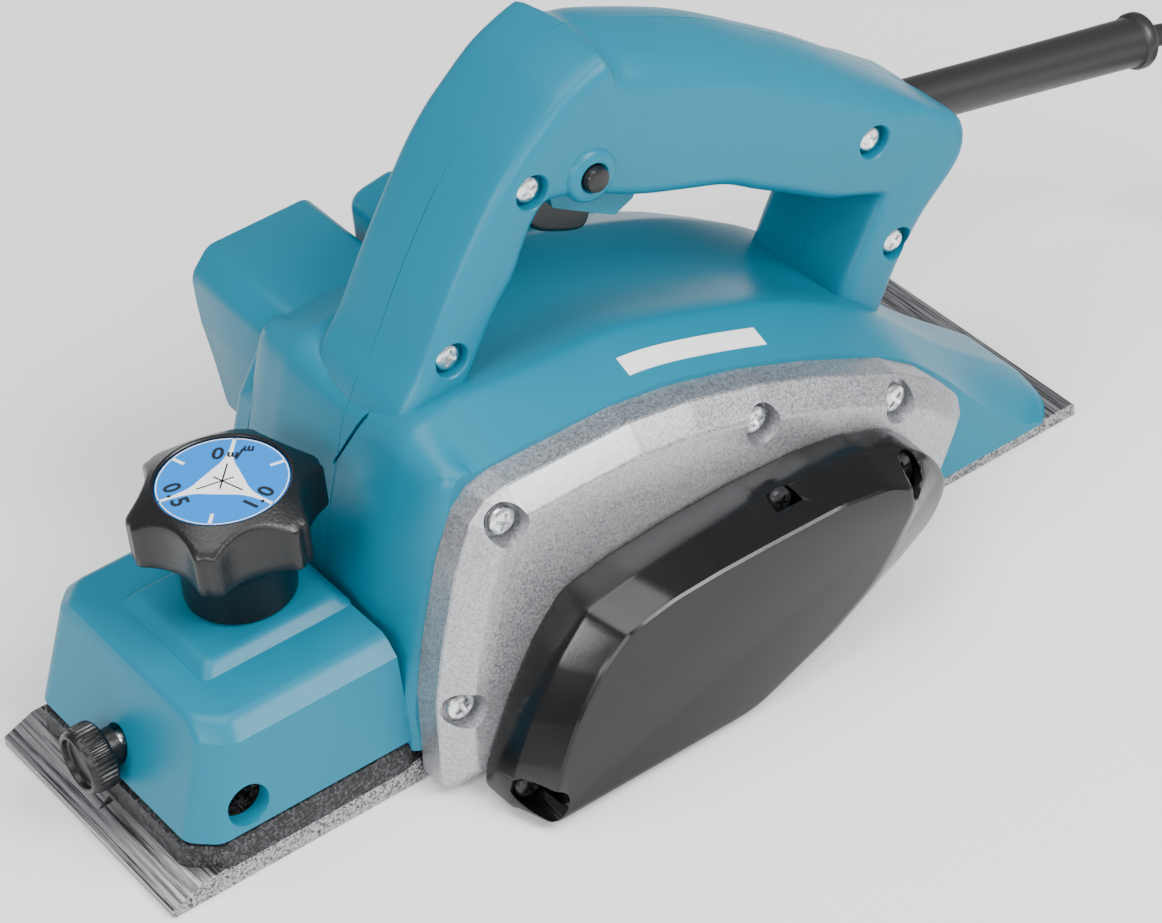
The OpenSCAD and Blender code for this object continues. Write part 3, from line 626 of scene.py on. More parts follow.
def make_cord():
    """The power cord with its plug, prongs and the tie round its coil."""
    sizes = bpy.context.scene.planer_sizes
    route = coil_path()
    data = bpy.data.curves.new("power_cord", "CURVE")
    data.dimensions = "3D"
    data.bevel_depth = sizes.cord_diameter / 2
    data.bevel_resolution = 3
    line = data.splines.new("POLY")
    line.points.add(len(route) - 1)
    for point, p in zip(line.points, route):
        point.co = (*at(*p), 1)
    cord = bpy.data.objects.new("power_cord", data)
    bpy.context.scene.collection.objects.link(cord)
    cord.data.materials.append(FINISHES["black_rubber"])
    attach(cord, "housing")
    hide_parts("cord_lead", "cord_coil", "cord_tail")

    px, py, pz = route[-1][0], 2, 7.6
    rings = []
    for step, half_x, half_z in ((0, 4.2, 4.2), (-3, 4.6, 4.6), (-14, 6, 6), (-16, 6.8, 6.4),
                                 (-24, 10.6, 7.2), (-31, 12.8, 7.4), (-41, 13, 7.4), (-42, 12.2, 6.7)):
        ring = []
        for k in range(32):
            a = TAU * k / 32
            c, s = math.cos(a), math.sin(a)
            square = 0.5 if half_x > 7 else 1
            ring.append((px + half_x * math.copysign(abs(c) ** square, c), py + step,
                         pz + half_z * math.copysign(abs(s) ** square, s)))
        rings.append(ring)
    plug = skin("mains_plug", rings)
    finish_piece(plug, "black_rubber", "housing", "plug_body", angle=40)
    pins = [turned("pin", [(0, 41), (2, 41), (2, 60), (1.4, 61.5), (0, 61.8)], (px + side * 9.5, py, pz),
                   (0, -1, 0), 24)
            for side in (-1, 1)]
    prongs = join("plug_prongs", *pins)
    finish_piece(prongs, frame_slot("plug_pins"), "housing", "plug_pins", material="zinc_steel")

    strap = prism("coil_tie", rounded([(-16.8, 0.05), (16.8, 0.05), (16.8, 13.9), (-16.8, 13.9)], 3),
                  [(-2.5, 0), (2.5, 0)], "x")
    hole = prism("hole", rounded([(-15.6, 0.2), (15.6, 0.2), (15.6, 13.2), (-15.6, 13.2)], 2),
                 [(-3, 0), (3, 0)], "x")
    carve(strap, hole)
    knuckle = block("knuckle", (-3.4, -3, 13), (3.4, 3, 14.25))
    strap = join("coil_tie", strap, knuckle)
    strap.data.transform(Matrix.Translation(at(-287, 66 + 37.4, 0)))
    finish_piece(strap, frame_slot("cable_tie"), "housing", "cable_tie", material="black_plastic")
    list(at(*route[0]))


def frame_slot(node):
    """The record's material slot of a CAD node."""
    return next(part["material_slot"] for part in frame["record"]["subparts"] if part["node"] == node)


def make_guard():
    """The tapered rubber guard with a ring at its mouth."""
    along = (GUARD_TIP - GUARD_ROOT).normalized()
    reach = (GUARD_TIP - GUARD_ROOT).length
    profile = [(3.25, -12), (8.4, -12), (8.4, -9.2), (6.5, -9), (6.5, 20), (6.7, 50), (6.9, reach - 6),
               (7, reach - 4), (7.6, reach - 3.6), (7.95, reach - 2.8), (7.95, reach - 0.9),
               (7.6, reach - 0.2), (6.8, reach), (4.2, reach), (3.7, reach - 1.2), (3.25, reach - 3),
               (3.25, -12)]
    guard = turned("rubber_guard", profile, GUARD_ROOT, along, 56)
    finish_piece(guard, "black_rubber", "housing", "cord_guard")


def make_housing():
    """The main moulding: deck, flanks and tail with the shoulder, motor barrel and drum boss."""
    sizes = bpy.context.scene.planer_sizes
    line = housing_outline()
    seam = sizes.seam / MM
    half = (0.25, 2, 5, 9, 13, 17, 21, 23.5, 24.4, 25, 25.6, 26.3, 27.5, 30, 33, 36, 39, 41, 42)
    widths = [-y for y in reversed(half)] + [0, *half]

    def rings(depth, limit, floor):
        built = []
        for y in sorted([w for w in widths if abs(w) < limit] + [limit, -limit]):
            groove = seam if y == 0 and not depth else 0.0
            top = [housing_point(x, z, nx, nz, y, depth + (groove if x > 52 else 0)) for x, z, nx, nz in line]
            top = [(x, yy, max(z, floor)) for x, yy, z in top]
            first, last = top[0], top[-1]
            under = [(last[0] + (first[0] - last[0]) * k / 8, y, floor) for k in range(1, 8)]
            built.append([*top, (last[0] + 0.6, y, floor), *under, (first[0], y, floor)])
        return built

    shell = skin("housing_shell", rings(0.0, SIDE_Y, 4.0))
    wall = prism("wall", [*WALL[:-3], (8, 4.2), (72, 4.2)],
                 [(-48, 3), (-47.6, 1.6), (-46.6, 0.6), (-45, 0), (-40, 0)], "y", 1.2, 3)
    shoulder = prism("shoulder", SHOULDER, [(-68, 3), (-67.6, 1.6), (-66.6, 0.6), (-65, 0), (-40, 0)], "y", 5)
    barrel = turned("barrel", [(0, 40), (33, 40), (33, 71.5), (32.6, 73), (31.6, 74), (0, 74)], MOTOR,
                    (0, -1, 0), 72)
    boss = turned("boss", [(0, 40), (16, 40), (16, 56), (15.4, 57.4), (14, 58), (0, 58)], DRUM, (0, -1, 0))
    carve(shell, wall, shoulder, barrel, boss, operation="UNION")
    inner = skin("inner", rings(3.0, 39, 6.0))
    for vertex in inner.data.vertices:
        if vertex.co.z < 6.5 * MM:
            vertex.co.z = -5 * MM
    carve(shell, inner,
          rod("motor_bore", MOTOR, (0, -1, 0), 29.6, -43, 80, 64),
          rod("drum_bore", DRUM, (0, -1, 0), 24.5, -43, 41.4, 64),
          rod("bearing_bore", DRUM, (0, -1, 0), 13, 30, 56),
          prism("chute_bore", [(16, 42), (44, 42), (45, 78), (15, 78)], [(-49, 0), (-30, 0)], "y"),
          block("mouth", (22.5, -41.5, 0), (77, 43, 10.6)),
          rod("brush_bore", (MOTOR[0] - 50, -60, MOTOR[2]), (1, 0, 0), 7.05, 0, 100),
          prism("slit", [(8, 88.2), (8.8, 87.4), (-0.9, 69.8), (-1.5, 70.4)], [(50, 0), (66, 0)], "x"))
    finish_piece(shell, "teal_plastic", "housing", "main_housing", angle=30)


def make_spout():
    """The chip duct: a soft-edged tube whose mouth leans outwards towards the top."""
    outer = [(50, 37), (50.6, 52), (51.2, 66), (50.4, 79.5), (44, 85.6), (13, 85.6), (10.5, 81), (10.5, 37)]
    inner = inset(outer, 2.6)
    spout = prism("chip_spout", outer, [(-41.9, 0), (-62, 0), (-82, 0)], "y", 6, 7)
    carve(spout, prism("hollow", inner, [(-95, 0), (-38, 0)], "y", 4, 5))
    edge = flow([(-81.5, 88), (-80.6, 80), (-79.3, 72), (-77.6, 65), (-75.6, 57), (-74.4, 50), (-73.4, 43),
                 (-72.3, 36)], 1.5)
    carve(spout, prism("mouth_cut", [(-96, 96), (-82, 96), *edge, (-71, 26), (-96, 26)], [(0, 0), (60, 0)],
                       "x"))
    soften(spout, 0.8, 50)
    finish_piece(spout, "teal_plastic", "housing", "chip_chute")


def make_end_grille():
    """The motor's end cover with its ring of air slots, its screws and the brush caps."""
    profile = [(0, 72), (13.5, 72), (13.5, 74), (33, 74), (33, 77), (32.4, 78.2), (31, 79), (14.5, 79),
               (13.6, 79.6), (12, 80), (0, 80)]
    cover = turned("motor_end_grille", [(r, h if h < 78 else h - 0.9) for r, h in profile], MOTOR,
                   (0, -1, 0), 96)
    slots = []
    for k in range(9):
        slot = block("slot", (17, -84, -1.6), (27.5, -72, 1.6))
        soften(slot, 1.2, 60, 3)
        turn = Matrix.Rotation(math.radians(k * 40 + 20), 4, "Y")
        slot.data.transform(Matrix.Translation(at(*MOTOR)) @ turn)
        slots.append(slot)
    carve(cover, join("slots", *slots))
    soften(cover, 0.35, 55)
    finish_piece(cover, "teal_plastic", "housing", "motor_end_cover")
    heads = [(MOTOR[0] + 30 * math.cos(math.radians(a)), -78.05, MOTOR[2] + 30 * math.sin(math.radians(a)))
             for a in END_TURNS]
    screws = cross_screws("end_cover_heads", heads, 2.8, 2.0, (0, -1, 0), 3.9, 1.5)
    finish_piece(screws, frame_slot("end_cover_screws"), "housing", "end_cover_screws", material="zinc_steel")
    caps = []
    for side in (-1, 1):
        cap = turned("cap", [(0, 29.6), (7, 29.6), (7, 33.4), (6.6, 34), (5.9, 34.4), (0, 34.4)],
                     (MOTOR[0], -60, MOTOR[2]), (side, 0, 0), 40)
        low, high = sorted((MOTOR[0] + side * 33.2, MOTOR[0] + side * 36))
        carve(cap, block("slot", (low, -68, 37.2), (high, -52, 38.8)))
        caps.append(cap)
    finish_piece(join("brush_cap_pair", *caps), frame_slot("brush_caps"), "housing", "brush_caps",
                 material="black_plastic")


def cross_screws(name, places, radius, height, along, shank, shank_radius, turns=(20, 65, 5, 40)):
    """Pan head screws with a cross recess: one is modelled, the others are copies with their own mesh."""
    profile = [(0, -shank), (shank_radius, -shank), (shank_radius, 0), (radius * 0.94, 0),
               (radius, height * 0.12), (radius, height * 0.5), (radius * 0.93, height * 0.74),
               (radius * 0.74, height * 0.92), (radius * 0.45, height), (0, height)]
    master = turned("screw", profile, (0, 0, 0), (0, 0, 1), 36)
    for half in (0, 1):
        arm, slim = radius * 0.62, radius * 0.14
        low = (-arm, -slim, height * 0.35) if half else (-slim, -arm, height * 0.35)
        high = (arm, slim, height * 1.5) if half else (slim, arm, height * 1.5)
        carve(master, block("arm", low, high))
    heading = Vector((0, 0, 1)).rotation_difference(Vector(along)).to_matrix().to_4x4()
    made = []
    for k, place in enumerate(places):
        copy = master.copy()
        copy.data = master.data.copy()
        bpy.context.scene.collection.objects.link(copy)
        spin = Matrix.Rotation(math.radians(turns[k % len(turns)]), 4, "Z")
        copy.data.transform(Matrix.Translation(at(*place)) @ heading @ spin)
        made.append(copy)
    bpy.data.objects.remove(master)
    return join(name, *made)


def box_ring(z, stand):
    """The nose box's plan outline at a height, standing in by a further step."""
    front = 136.5 - (z - 10) * 11.5 / 35 - stand
    side = HALF_W - (z - 10) * 2 / 30.5
    if z > 40.5:
        side -= (z - 40.5) * 0.95
    side -= stand
    corner = [(72.5, -side), (front - 6.4, -side), (front, 6.6 - side), (front, side - 6.6),
              (front - 6.4, side), (72.5, side)]
    made = []
    for k, (x, y) in enumerate(corner):
        if k in (0, 5):
            made.append((x, y))
        else:
            before, here, after = Vector(corner[k - 1]), Vector((x, y)), Vector(corner[k + 1])
            reach = 2.6
            a = here + (before - here).normalized() * reach
            b = here + (after - here).normalized() * reach
            for s in range(6):
                t = s / 5
                made.append(tuple(a * (1 - t) ** 2 + here * 2 * t * (1 - t) + b * t ** 2))
    return made


def make_nose():
    """The teal box over the front base, split on its centre line, with the knob's raised pad."""
    levels = [(14.2, 0.0), (24, 0), (34, 0), (40.2, 0), (40.5, 0), (40.9, 0.05), (43.6, 0), (44.3, 0.25),
              (44.8, 0.75), (45, 1.5)]
    box = skin("box", [[(x, y, z) for x, y in box_ring(z, stand)] for z, stand in levels])
    pad = prism("pad", [(72.5, -19.5), (115, -19.5), (115, 19.5), (72.5, 19.5)],
                [(42, -1), (45.1, -0.6), (46.2, 0.6), (47, 1.4), (47.6, 2.2), (47.9, 3), (48, 4)], "z", 2.5,
                5)
    carve(box, pad, operation="UNION")
    hollow = prism("hollow", [(75.5, 13), (132, 13), (124.2, 32), (118.5, 41.5), (75.5, 41.5)],
                   [(-36, 0), (36, 0)], "y")
    rod_hole = turned("rod_hole", [(0, -60), (6, -60), (6, -40.6), (5.75, -40), (5.75, 40), (6, 40.6),
                                   (6, 60), (0, 60)], ROD, (0, 1, 0), 48)
    carve(box, hollow, rod_hole, rod("stud_hole", KNOB, (0, 0, 1), 7, 30, 60),
          turned("screw_hole", [(0, 120), (5.2, 120), (5.2, 150), (0, 150)], (0, 0, 21.5), (1, 0, 0), 40))
    halves = []
    for side, node in ((1, "front_cover_left"), (-1, "front_cover_right")):
        half = box.copy()
        half.data = box.data.copy()
        bpy.context.scene.collection.objects.link(half)
        half.name = half.data.name = "nose_left" if side > 0 else "nose_right"
        low, high = sorted((0, side * -60))
        carve(half, block("other", (60, low, 0), (160, high, 60)))
        halves.append((half, node))
    bpy.data.objects.remove(box)
    for half, node in halves:
        finish_piece(half, "teal_plastic", "housing", node, angle=26)


# Outer point, inner point and crispness, round the handle from its front foot to its rear foot
HANDLE = [((56, 80), (27, 82), 1), ((52, 91), (30, 91), 1), ((45, 100), (26, 99), 1),
          ((36, 115), (20, 108), 1), ((28, 127), (14, 115), 1), ((19, 139), (11, 121), 1),
          ((12, 146.5), (7.5, 127), 1), ((6, 151.5), (3, 131), 1), ((-4, 158.8), (-4, 129.4), 1),
          ((-12, 162.4), (-12, 126), 1), ((-17, 164), (-17, 123.6), 1), ((-18.5, 164.2), (-18.4, 122.8), 0.9),
          ((-20.2, 163.6), (-19.7, 122.2), 0.3), ((-22.5, 162.4), (-22, 121), 0.08),
          ((-30, 160.6), (-29, 118), 0), ((-45, 154.3), (-40, 114), 0), ((-60, 146.8), (-51, 109.8), 0),
          ((-75, 137), (-60, 104), 0), ((-90, 126.5), (-69, 98.5), 0.15), ((-106, 113.5), (-82, 90.5), 0.5),
          ((-120, 101.5), (-93, 86), 1.3), ((-127, 95), (-98, 83.5), 2), ((-128.5, 89.5), (-97.5, 81), 2),
          ((-126, 83), (-95.5, 77.5), 2), ((-114, 72), (-92, 71.5), 2), ((-105, 60), (-87.5, 64), 2),
          ((-98, 48), (-83.5, 57), 2), ((-93, 40), (-79, 49.5), 2)]
# Half sections as Y and depth: the soft grip, the crisp front post, the tight rear post
MELTED = [(0, 0), (3.5, 0.2), (7, 0.8), (10.5, 1.9), (13.5, 3.3), (16, 5.1), (17.9, 7.2), (19.2, 9.6),
          (19.85, 12.2), (20, 15)]
CRISP = [(0, 0), (5, 0.1), (10, 0.4), (14, 0.8), (16.6, 1.15), (17.8, 1.6), (18.7, 2.4), (19.35, 3.5),
         (19.75, 4.8), (20, 6.5)]
TIGHT = [(0, 0), (5, 0), (10, 0), (13, 0), (15.6, 0.1), (17.2, 0.5), (18.5, 1.3), (19.4, 2.5), (19.85, 4),
         (20, 6)]
# The side of every section that faces the hand's opening
INSIDE = [(20, 4), (19.7, 2.5), (18.9, 1.2), (17.6, 0.35), (16, 0), (11, 0), (6, 0), (0, 0)]


def handle_half(side, depth, seam):
    """One half of the D handle: sections that run round the loop from the front foot to the rear foot."""
    loop = flow([(*outer, *inner, 10 * edge) for outer, inner, edge in HANDLE], 2.4)
    rings = []
    for ox, oz, ix, iz, edge in loop:
        edge = min(2.0, max(0.0, edge / 10))
        first, second = (MELTED, CRISP) if edge < 1 else (CRISP, TIGHT)
        share = 1 - (edge if edge < 1 else edge - 1)
        outer, inner = Vector((ox, oz)), Vector((ix, iz))
        across = (inner - outer)
        width = across.length
        across.normalize()
        ring = []
        for (y, near), (far_y, far) in zip(first, second):
            wide = y * share + far_y * (1 - share)
            deep = near * share + far * (1 - share) + depth
            wide = max(0.0, wide - depth) if wide > 1 else wide
            if y == 0:
                deep += seam
                point = outer + across * deep
                ring.append((point.x, 0.0, point.y))
                point = outer + across * (deep - seam)
                ring.append((point.x, side * 0.22, point.y))
                continue
            point = outer + across * deep
            ring.append((point.x, side * wide, point.y))
        for y, deep in INSIDE:
            wide = max(0.0, y - depth)
            point = outer + across * (width - deep - depth)
            if y == 0:
                near = outer + across * (width - depth)
                ring.append((near.x, side * 0.22, near.y))
                point = outer + across * (width - depth - seam)
            ring.append((point.x, side * wide, point.y))
        rings.append(ring)
    return skin("half", rings)


def make_handle():
    """Both halves of the D handle, hollow, with their bores, the button's collar and the screws."""
    sizes = bpy.context.scene.planer_sizes
    seam = sizes.seam / MM
    for side, node in ((1, "handle_left"), (-1, "handle_right")):
        half = handle_half(side, 0.0, seam)
        half.name = half.data.name = "grip_left" if side > 0 else "grip_right"
        core = handle_half(side, 3.6, 0.0)
        for vertex in core.data.vertices:
            if abs(vertex.co.y) < 0.3 * MM:
                vertex.co.y = -side * 1 * MM
        carve(core, *[rod("boss", (x, 0, z), (0, side, 0), 6.2, 0.1, 20, 32) for x, z in HANDLE_SCREWS])
        carve(half, core)
        if side > 0:
            collar = turned("collar", [(0, 14), (7.4, 14), (7.4, 19.6), (6.9, 20.6), (6, 21.3), (4.6, 21.5),
                                       (0, 21.5)], BUTTON, (0, 1, 0), 48)
            carve(half, collar, operation="UNION")
            recess = [turned("recess", [(0, 16.05), (4.65, 16.05), (4.65, 19.6), (5.1, 20.1), (5.1, 26),
                                        (0, 26)], (x, 0, z), (0, 1, 0), 44) for x, z in HANDLE_SCREWS]
            bores = [rod("bore", (x, 0, z), (0, 1, 0), 2.2, -1, 17) for x, z in HANDLE_SCREWS]
            button = turned("button", [(0, -1), (5, -1), (5, 14), (3.65, 14), (3.65, 20.9), (4.2, 21.6),
                                       (4.2, 24), (0, 24)], BUTTON, (0, 1, 0), 40)
            carve(half, *recess, *bores, button)
        else:
            carve(half, *[rod("bore", (x, 0, z), (0, -1, 0), 1.8, -1, 12) for x, z in HANDLE_SCREWS])
        fin = prism("fin", [(-3, 128), (-3.6, 123), (-21.5, 112), (-27.5, 114.5), (-29.5, 121)],
                    [(side * 8.3, 0), (side * 11.3, 0)], "y", 1.2)
        carve(half, fin, operation="UNION")
        low, high = sorted((side * -1, side * 8))
        carve(half, block("slot", (-22, low, 100), (11.5, high, 134.8)),
              turned("socket", [(0, -14), (8.7, -14), (8.7, -8), (6.6, -8), (6.6, 30), (0, 30)],
                     GUARD_ROOT, (GUARD_TIP - GUARD_ROOT).normalized(), 48))
        finish_piece(half, "teal_plastic", "housing", node, angle=30)
    screws = cross_screws("grip_screws", [(x, 16.1, z) for x, z in HANDLE_SCREWS], 3.6, 2.4, (0, 1, 0), 26,
                          1.75)
    finish_piece(screws, "zinc_steel", "housing", "handle_screws")


def make_bracket():
    """The cast side bracket with its chamfer, screw recesses and shaft bores."""
    levels = [(42, 0), (49.6, 0.25), (50.2, 0.5), (50.7, 1.1), (55.2, 6.2), (55.6, 6.8), (55.8, 7.6)]
    casting = prism("bracket_casting", BRACKET, levels, "y", 4)
    pocket = [(52, 5), (49, 14), (45, 24), (39, 36), (30, 42), (18, 45), (-18, 47), (-38, 47), (-50, 44),
              (-57, 38), (-60, 32), (-50, 16), (-20, 6)]
    carve(casting, prism("pocket", pocket, [(52, 0), (60, 0)], "y"),
          rod("drum_seat", DRUM, (0, 1, 0), 13, 41, 50), rod("drum_hole", DRUM, (0, 1, 0), 8.6, 40, 60),
          rod("motor_seat", MOTOR, (0, 1, 0), 11, 41, 50), rod("motor_hole", MOTOR, (0, 1, 0), 7, 40, 60))
    for x, z in BRACKET_SCREWS:
        carve(casting, turned("recess", [(0, 50), (5.3, 50), (5.3, 60), (0, 60)], (x, 0, z), (0, 1, 0), 48),
              rod("bore", (x, 0, z), (0, 1, 0), 2.2, 41, 52))
    soften(casting, 0.3, 50)
    finish_piece(casting, "cast_silver", "housing", "side_bracket", angle=20)
    screws = cross_screws("bracket_heads", [(x, 50.05, z) for x, z in BRACKET_SCREWS], 3.9, 2.8, (0, 1, 0),
                          18, 1.75)
    finish_piece(screws, "zinc_steel", "housing", "bracket_screws")


def cover_ring(y, share, step=0.0):
    """The cover's outline at a width: share 0 is the foot, 1 the face."""
    line = [tuple(Vector(foot).lerp(Vector(face), share)) for foot, face in COVER]
    return [(x, y, z) for x, z in rounded(inset(line, step) if step else line, 30, 4)]


def make_belt_cover():
    """The hollow belt cover with its screw posts."""
    levels = ((56.05, 0, 0.2), (57, 0, 0), (66.2, 0.03, 0), (67.2, 0.08, 0.15), (68, 0.16, 0.3),
              (76.6, 0.86, 0.3), (77.6, 0.94, 0.45), (78.2, 1, 0.9), (78.4, 1, 1.9))
    cover = skin("belt_shell", [cover_ring(*level) for level in levels])
    carve(cover, skin("inner", [cover_ring(55, 0, 3), cover_ring(66, 0, 3), cover_ring(75.5, 0.9, 3.2)]))
    for (x, z), wide, top in zip(COVER_SCREWS, (4.6, 4.2, 4.6), (90, 71.5, 90)):
        carve(cover, turned("recess", [(0, 66), (wide, 66), (wide, top), (0, top)], (x, 0, z), (0, 1, 0), 44))
    posts = [turned("post", [(2, 56.1), (5.4, 56.1), (5.4, 66), (2, 66), (2, 56.1)], (x, 0, z), (0, 1, 0), 32)
             for x, z in COVER_SCREWS]
    for post in posts:
        trim = skin("trim", [cover_ring(50, 0, 0.9), cover_ring(80, 0, 0.9)])
        carve(post, trim, operation="INTERSECT")
    carve(cover, *posts, operation="UNION")
    soften(cover, 0.35, 60)
    finish_piece(cover, "black_plastic", "housing", "belt_cover", angle=24, material="black_gloss")
    screws = cross_screws("cover_heads", [(x, 66.05, z) for x, z in COVER_SCREWS], 3.4, 2.4, (0, 1, 0),
                          19.5, 1.55)
    finish_piece(screws, frame_slot("belt_cover_screws"), "housing", "belt_cover_screws",
                 material="black_steel")


def make_soles():
    """The milled rear sole plate and the front base casting with its dark rim."""
    rear = prism("rear_sole_plate", [(-145, 0), (23, 0), (23, 0.8), (19.8, 4), (-144.2, 4), (-145, 3.2)],
                 [(-41, 0), (-40.6, 0), (40.6, 0), (41, 0)], "y")
    holes = []
    for x, y in ((2, 30), (2, -30), (-100, 30), (-100, -30)):
        holes.append(turned("hole", [(0, -1), (4.4, -1), (4.4, 2.4), (2.2, 2.4), (2.2, 10), (0, 10)],
                            (x, y, 0), (0, 0, 1)))
    carve(rear, *holes)
    soften(rear, 0.25, 40, 1)
    finish_piece(rear, "machined_aluminium", "housing", "rear_base")

    front = prism("front_sole_casting", [(46, 0), (145, 0), (145, 2.5), (136, 6), (77, 6), (60, 9), (55, 9)],
                  [(-41, 0), (41, 0)], "y")
    soften(front, 0.3, 30, 2)
    rim_line = [(70.5, -41), (128, -41), (136.6, 8 - 41), (136.6, 41 - 8), (128, 41), (70.5, 41)]
    rim = prism("rim", rounded(rim_line, 5, 6), [(5.5, 0), (11.2, 0.3), (12.4, 0.8), (13, 1.8)], "z")
    carve(front, rim, operation="UNION")
    guide = prism("guide", [(80, 12), (129.6, 12), (123.6, 30), (80, 30)], [(-34, 0), (34, 0)], "y")
    carve(front, guide, block("boss", (80, -20, 29), (104, 20, 36)), operation="UNION")
    carve(front, rod("rod_bore", ROD, (0, 1, 0), 4.75, -60, 60),
          turned("stem_bore", [(0, 118), (3.05, 118), (3.05, 150), (0, 150)], (0, 0, 21.5), (1, 0, 0)),
          rod("insert_bore", KNOB, (0, 0, 1), 6.5, 10, 50),
          prism("vee", [(-3.2, -1), (0, 2.1), (3.2, -1)], [(126, 0), (150, 0)], "x"),
          prism("mark", [(136.9, 1.2), (141.2, 0), (136.9, -1.2)], [(3.4, 0), (9, 0)], "z"))
    front.data.materials.clear()
    front.data.materials.append(FINISHES["machined_aluminium"])
    front.data.materials.append(FINISHES["front_casting"])
    for face in front.data.polygons:
        centre = face.center / MM
        dark = centre.z > 6.02 and centre.x > 70
        face.material_index = 1 if dark else 0
    finish_piece(front, "front_casting", "front_base", "front_base")


def lobe(angle):
    """The knob's radius at an angle: a circle of 25 with six scallops of 17.5 between the lobes."""
    nearest = min((((angle - (math.radians(76.5 + 60 * k))) + math.pi) % TAU - math.pi for k in range(6)),
                  key=abs)
    reach = 37.3 * math.cos(nearest)
    inside = 17.5 ** 2 - (37.3 * math.sin(nearest)) ** 2
    radius = reach - math.sqrt(inside) if inside > 0 else 25
    sharp = 2.2
    return -math.log(math.exp(-radius * sharp) + math.exp(-25 * sharp)) / sharp


def make_knob():
    """The lobed depth knob and its printed dial."""
    steps = 180
    angles = [TAU * k / steps for k in range(steps)]

    def dome(radius):
        return 83.3 - (radius - 17.6) * 0.6

    rings = []

    def ring(radius, height):
        rings.append([(KNOB[0] + r * math.cos(a), r * math.sin(a), z)
                      for a in angles for r, z in [(radius(lobe(a)), height(lobe(a)))]])

    for radius, height in ((0.0, 71.9), (4.05, 71.9), (4.05, 49), (4.3, 48.3), (13.4, 48.3), (14.2, 48.9),
                           (14.4, 50), (14.4, 60.5), (15.2, 62.4)):
        ring(lambda r, v=radius: v, lambda r, v=height: v)
    ring(lambda r: r * 0.5 + 8, lambda r: 65.4)
    ring(lambda r: r - 1.2, lambda r: 66.9)
    ring(lambda r: r - 0.35, lambda r: 67.2)
    ring(lambda r: r, lambda r: 67.9)
    ring(lambda r: r, lambda r: 70.5)
    ring(lambda r: r, lambda r: dome(r) - 3)
    ring(lambda r: r, lambda r: dome(r) - 0.7)
    ring(lambda r: r - 0.18, lambda r: dome(r) - 0.25)
    ring(lambda r: r - 0.6, lambda r: dome(r - 0.6) - 0.02)
    for share in (0.3, 0.6, 0.85):
        inward = functools.partial(lambda s, r: (r - 0.6) * (1 - s) + 17.9 * s, share)
        ring(inward, lambda r, inward=inward: dome(inward(r)))
    for radius, height in ((17.6, 83.3), (17.15, 83.25), (16.85, 82.95), (16.75, 82.2), (0.0, 82.2)):
        ring(lambda r, v=radius: v, lambda r, v=height: v)
    knob = skin("lobed_knob", rings)
    finish_piece(knob, "black_plastic", "depth_knob", "depth_knob", angle=35)

    ground = turned("ground", [(0, 82.25), (16.6, 82.25), (16.6, 82.62), (16.45, 82.72), (0, 82.72)], KNOB,
                    (0, 0, 1), 96)
    ground.data.materials.append(FINISHES["dial_blue"])
    rays = []
    for turn in (226.5, 346.5, 106.5):
        a = math.radians(turn)
        right = [(16.3, 0.42), (12.5, 0.5), (10, 0.8), (8, 1.35), (6.3, 2.1), (5, 2.95)]
        side = Vector((-math.sin(a), math.cos(a)))
        out = Vector((math.cos(a), math.sin(a)))
        rays += [out * r - side * w for r, w in reversed(right)] + [out * r + side * w for r, w in right]
    star = prism("star", [(KNOB[0] + p.x, p.y) for p in rays], [(82.7, 0), (82.76, 0)], "z")
    ticks = [spoke("tick", turn, 12.4, 16.2, 0.45, 82.7, 82.76) for turn in (46.5, 166.5, 286.5)]
    rim = turned("rim", [(16.05, 82.7), (16.3, 82.7), (16.3, 82.76), (16.05, 82.76), (16.05, 82.7)], KNOB,
                 (0, 0, 1), 96)
    white = join("white", star, rim, *ticks)
    white.data.materials.append(FINISHES["dial_white"])
    lines = [spoke("line", turn, 0, reach, 0.22, 82.75, 82.8)
             for turn, reach in ((226.5, 6.6), (346.5, 6.6), (106.5, 6.6), (46.5, 3), (166.5, 3), (286.5, 3))]
    inks = [number(words, turn, reach, shift, size) for words, turn, reach, shift, size in (
        ("0", 226.5, 10.4, 3.1, 6.2), ("m", 226.5, 9.6, -0.6, 3.6), ("/", 226.5, 10.4, -2.3, 5.4),
        ("m", 226.5, 12, -4.2, 3.6), ("0", 346.5, 11.7, -3.4, 6.2), (".", 346.5, 11.7, -0.6, 6.2),
        ("5", 346.5, 11.7, 2.6, 6.2), ("1", 106.5, 11.7, -3.0, 6.2), (".", 106.5, 11.7, -0.6, 6.2),
        ("0", 106.5, 11.7, 2.6, 6.2))]
    ink = join("ink", *lines, *inks)
    ink.data.materials.clear()
    ink.data.materials.append(FINISHES["dial_ink"])
    dial = join("depth_dial", ground, white, ink)
    finish_piece(dial, "dial_blue", "depth_knob", "knob_dial")


def spoke(name, turn, start, end, half, low, high):
    """A thin bar on the dial that points outwards at an angle."""
    bar = block(name, (start, -half, low), (end, half, high))
    bar.data.transform(Matrix.Translation(at(*KNOB)) @ Matrix.Rotation(math.radians(turn), 4, "Z"))
    return bar


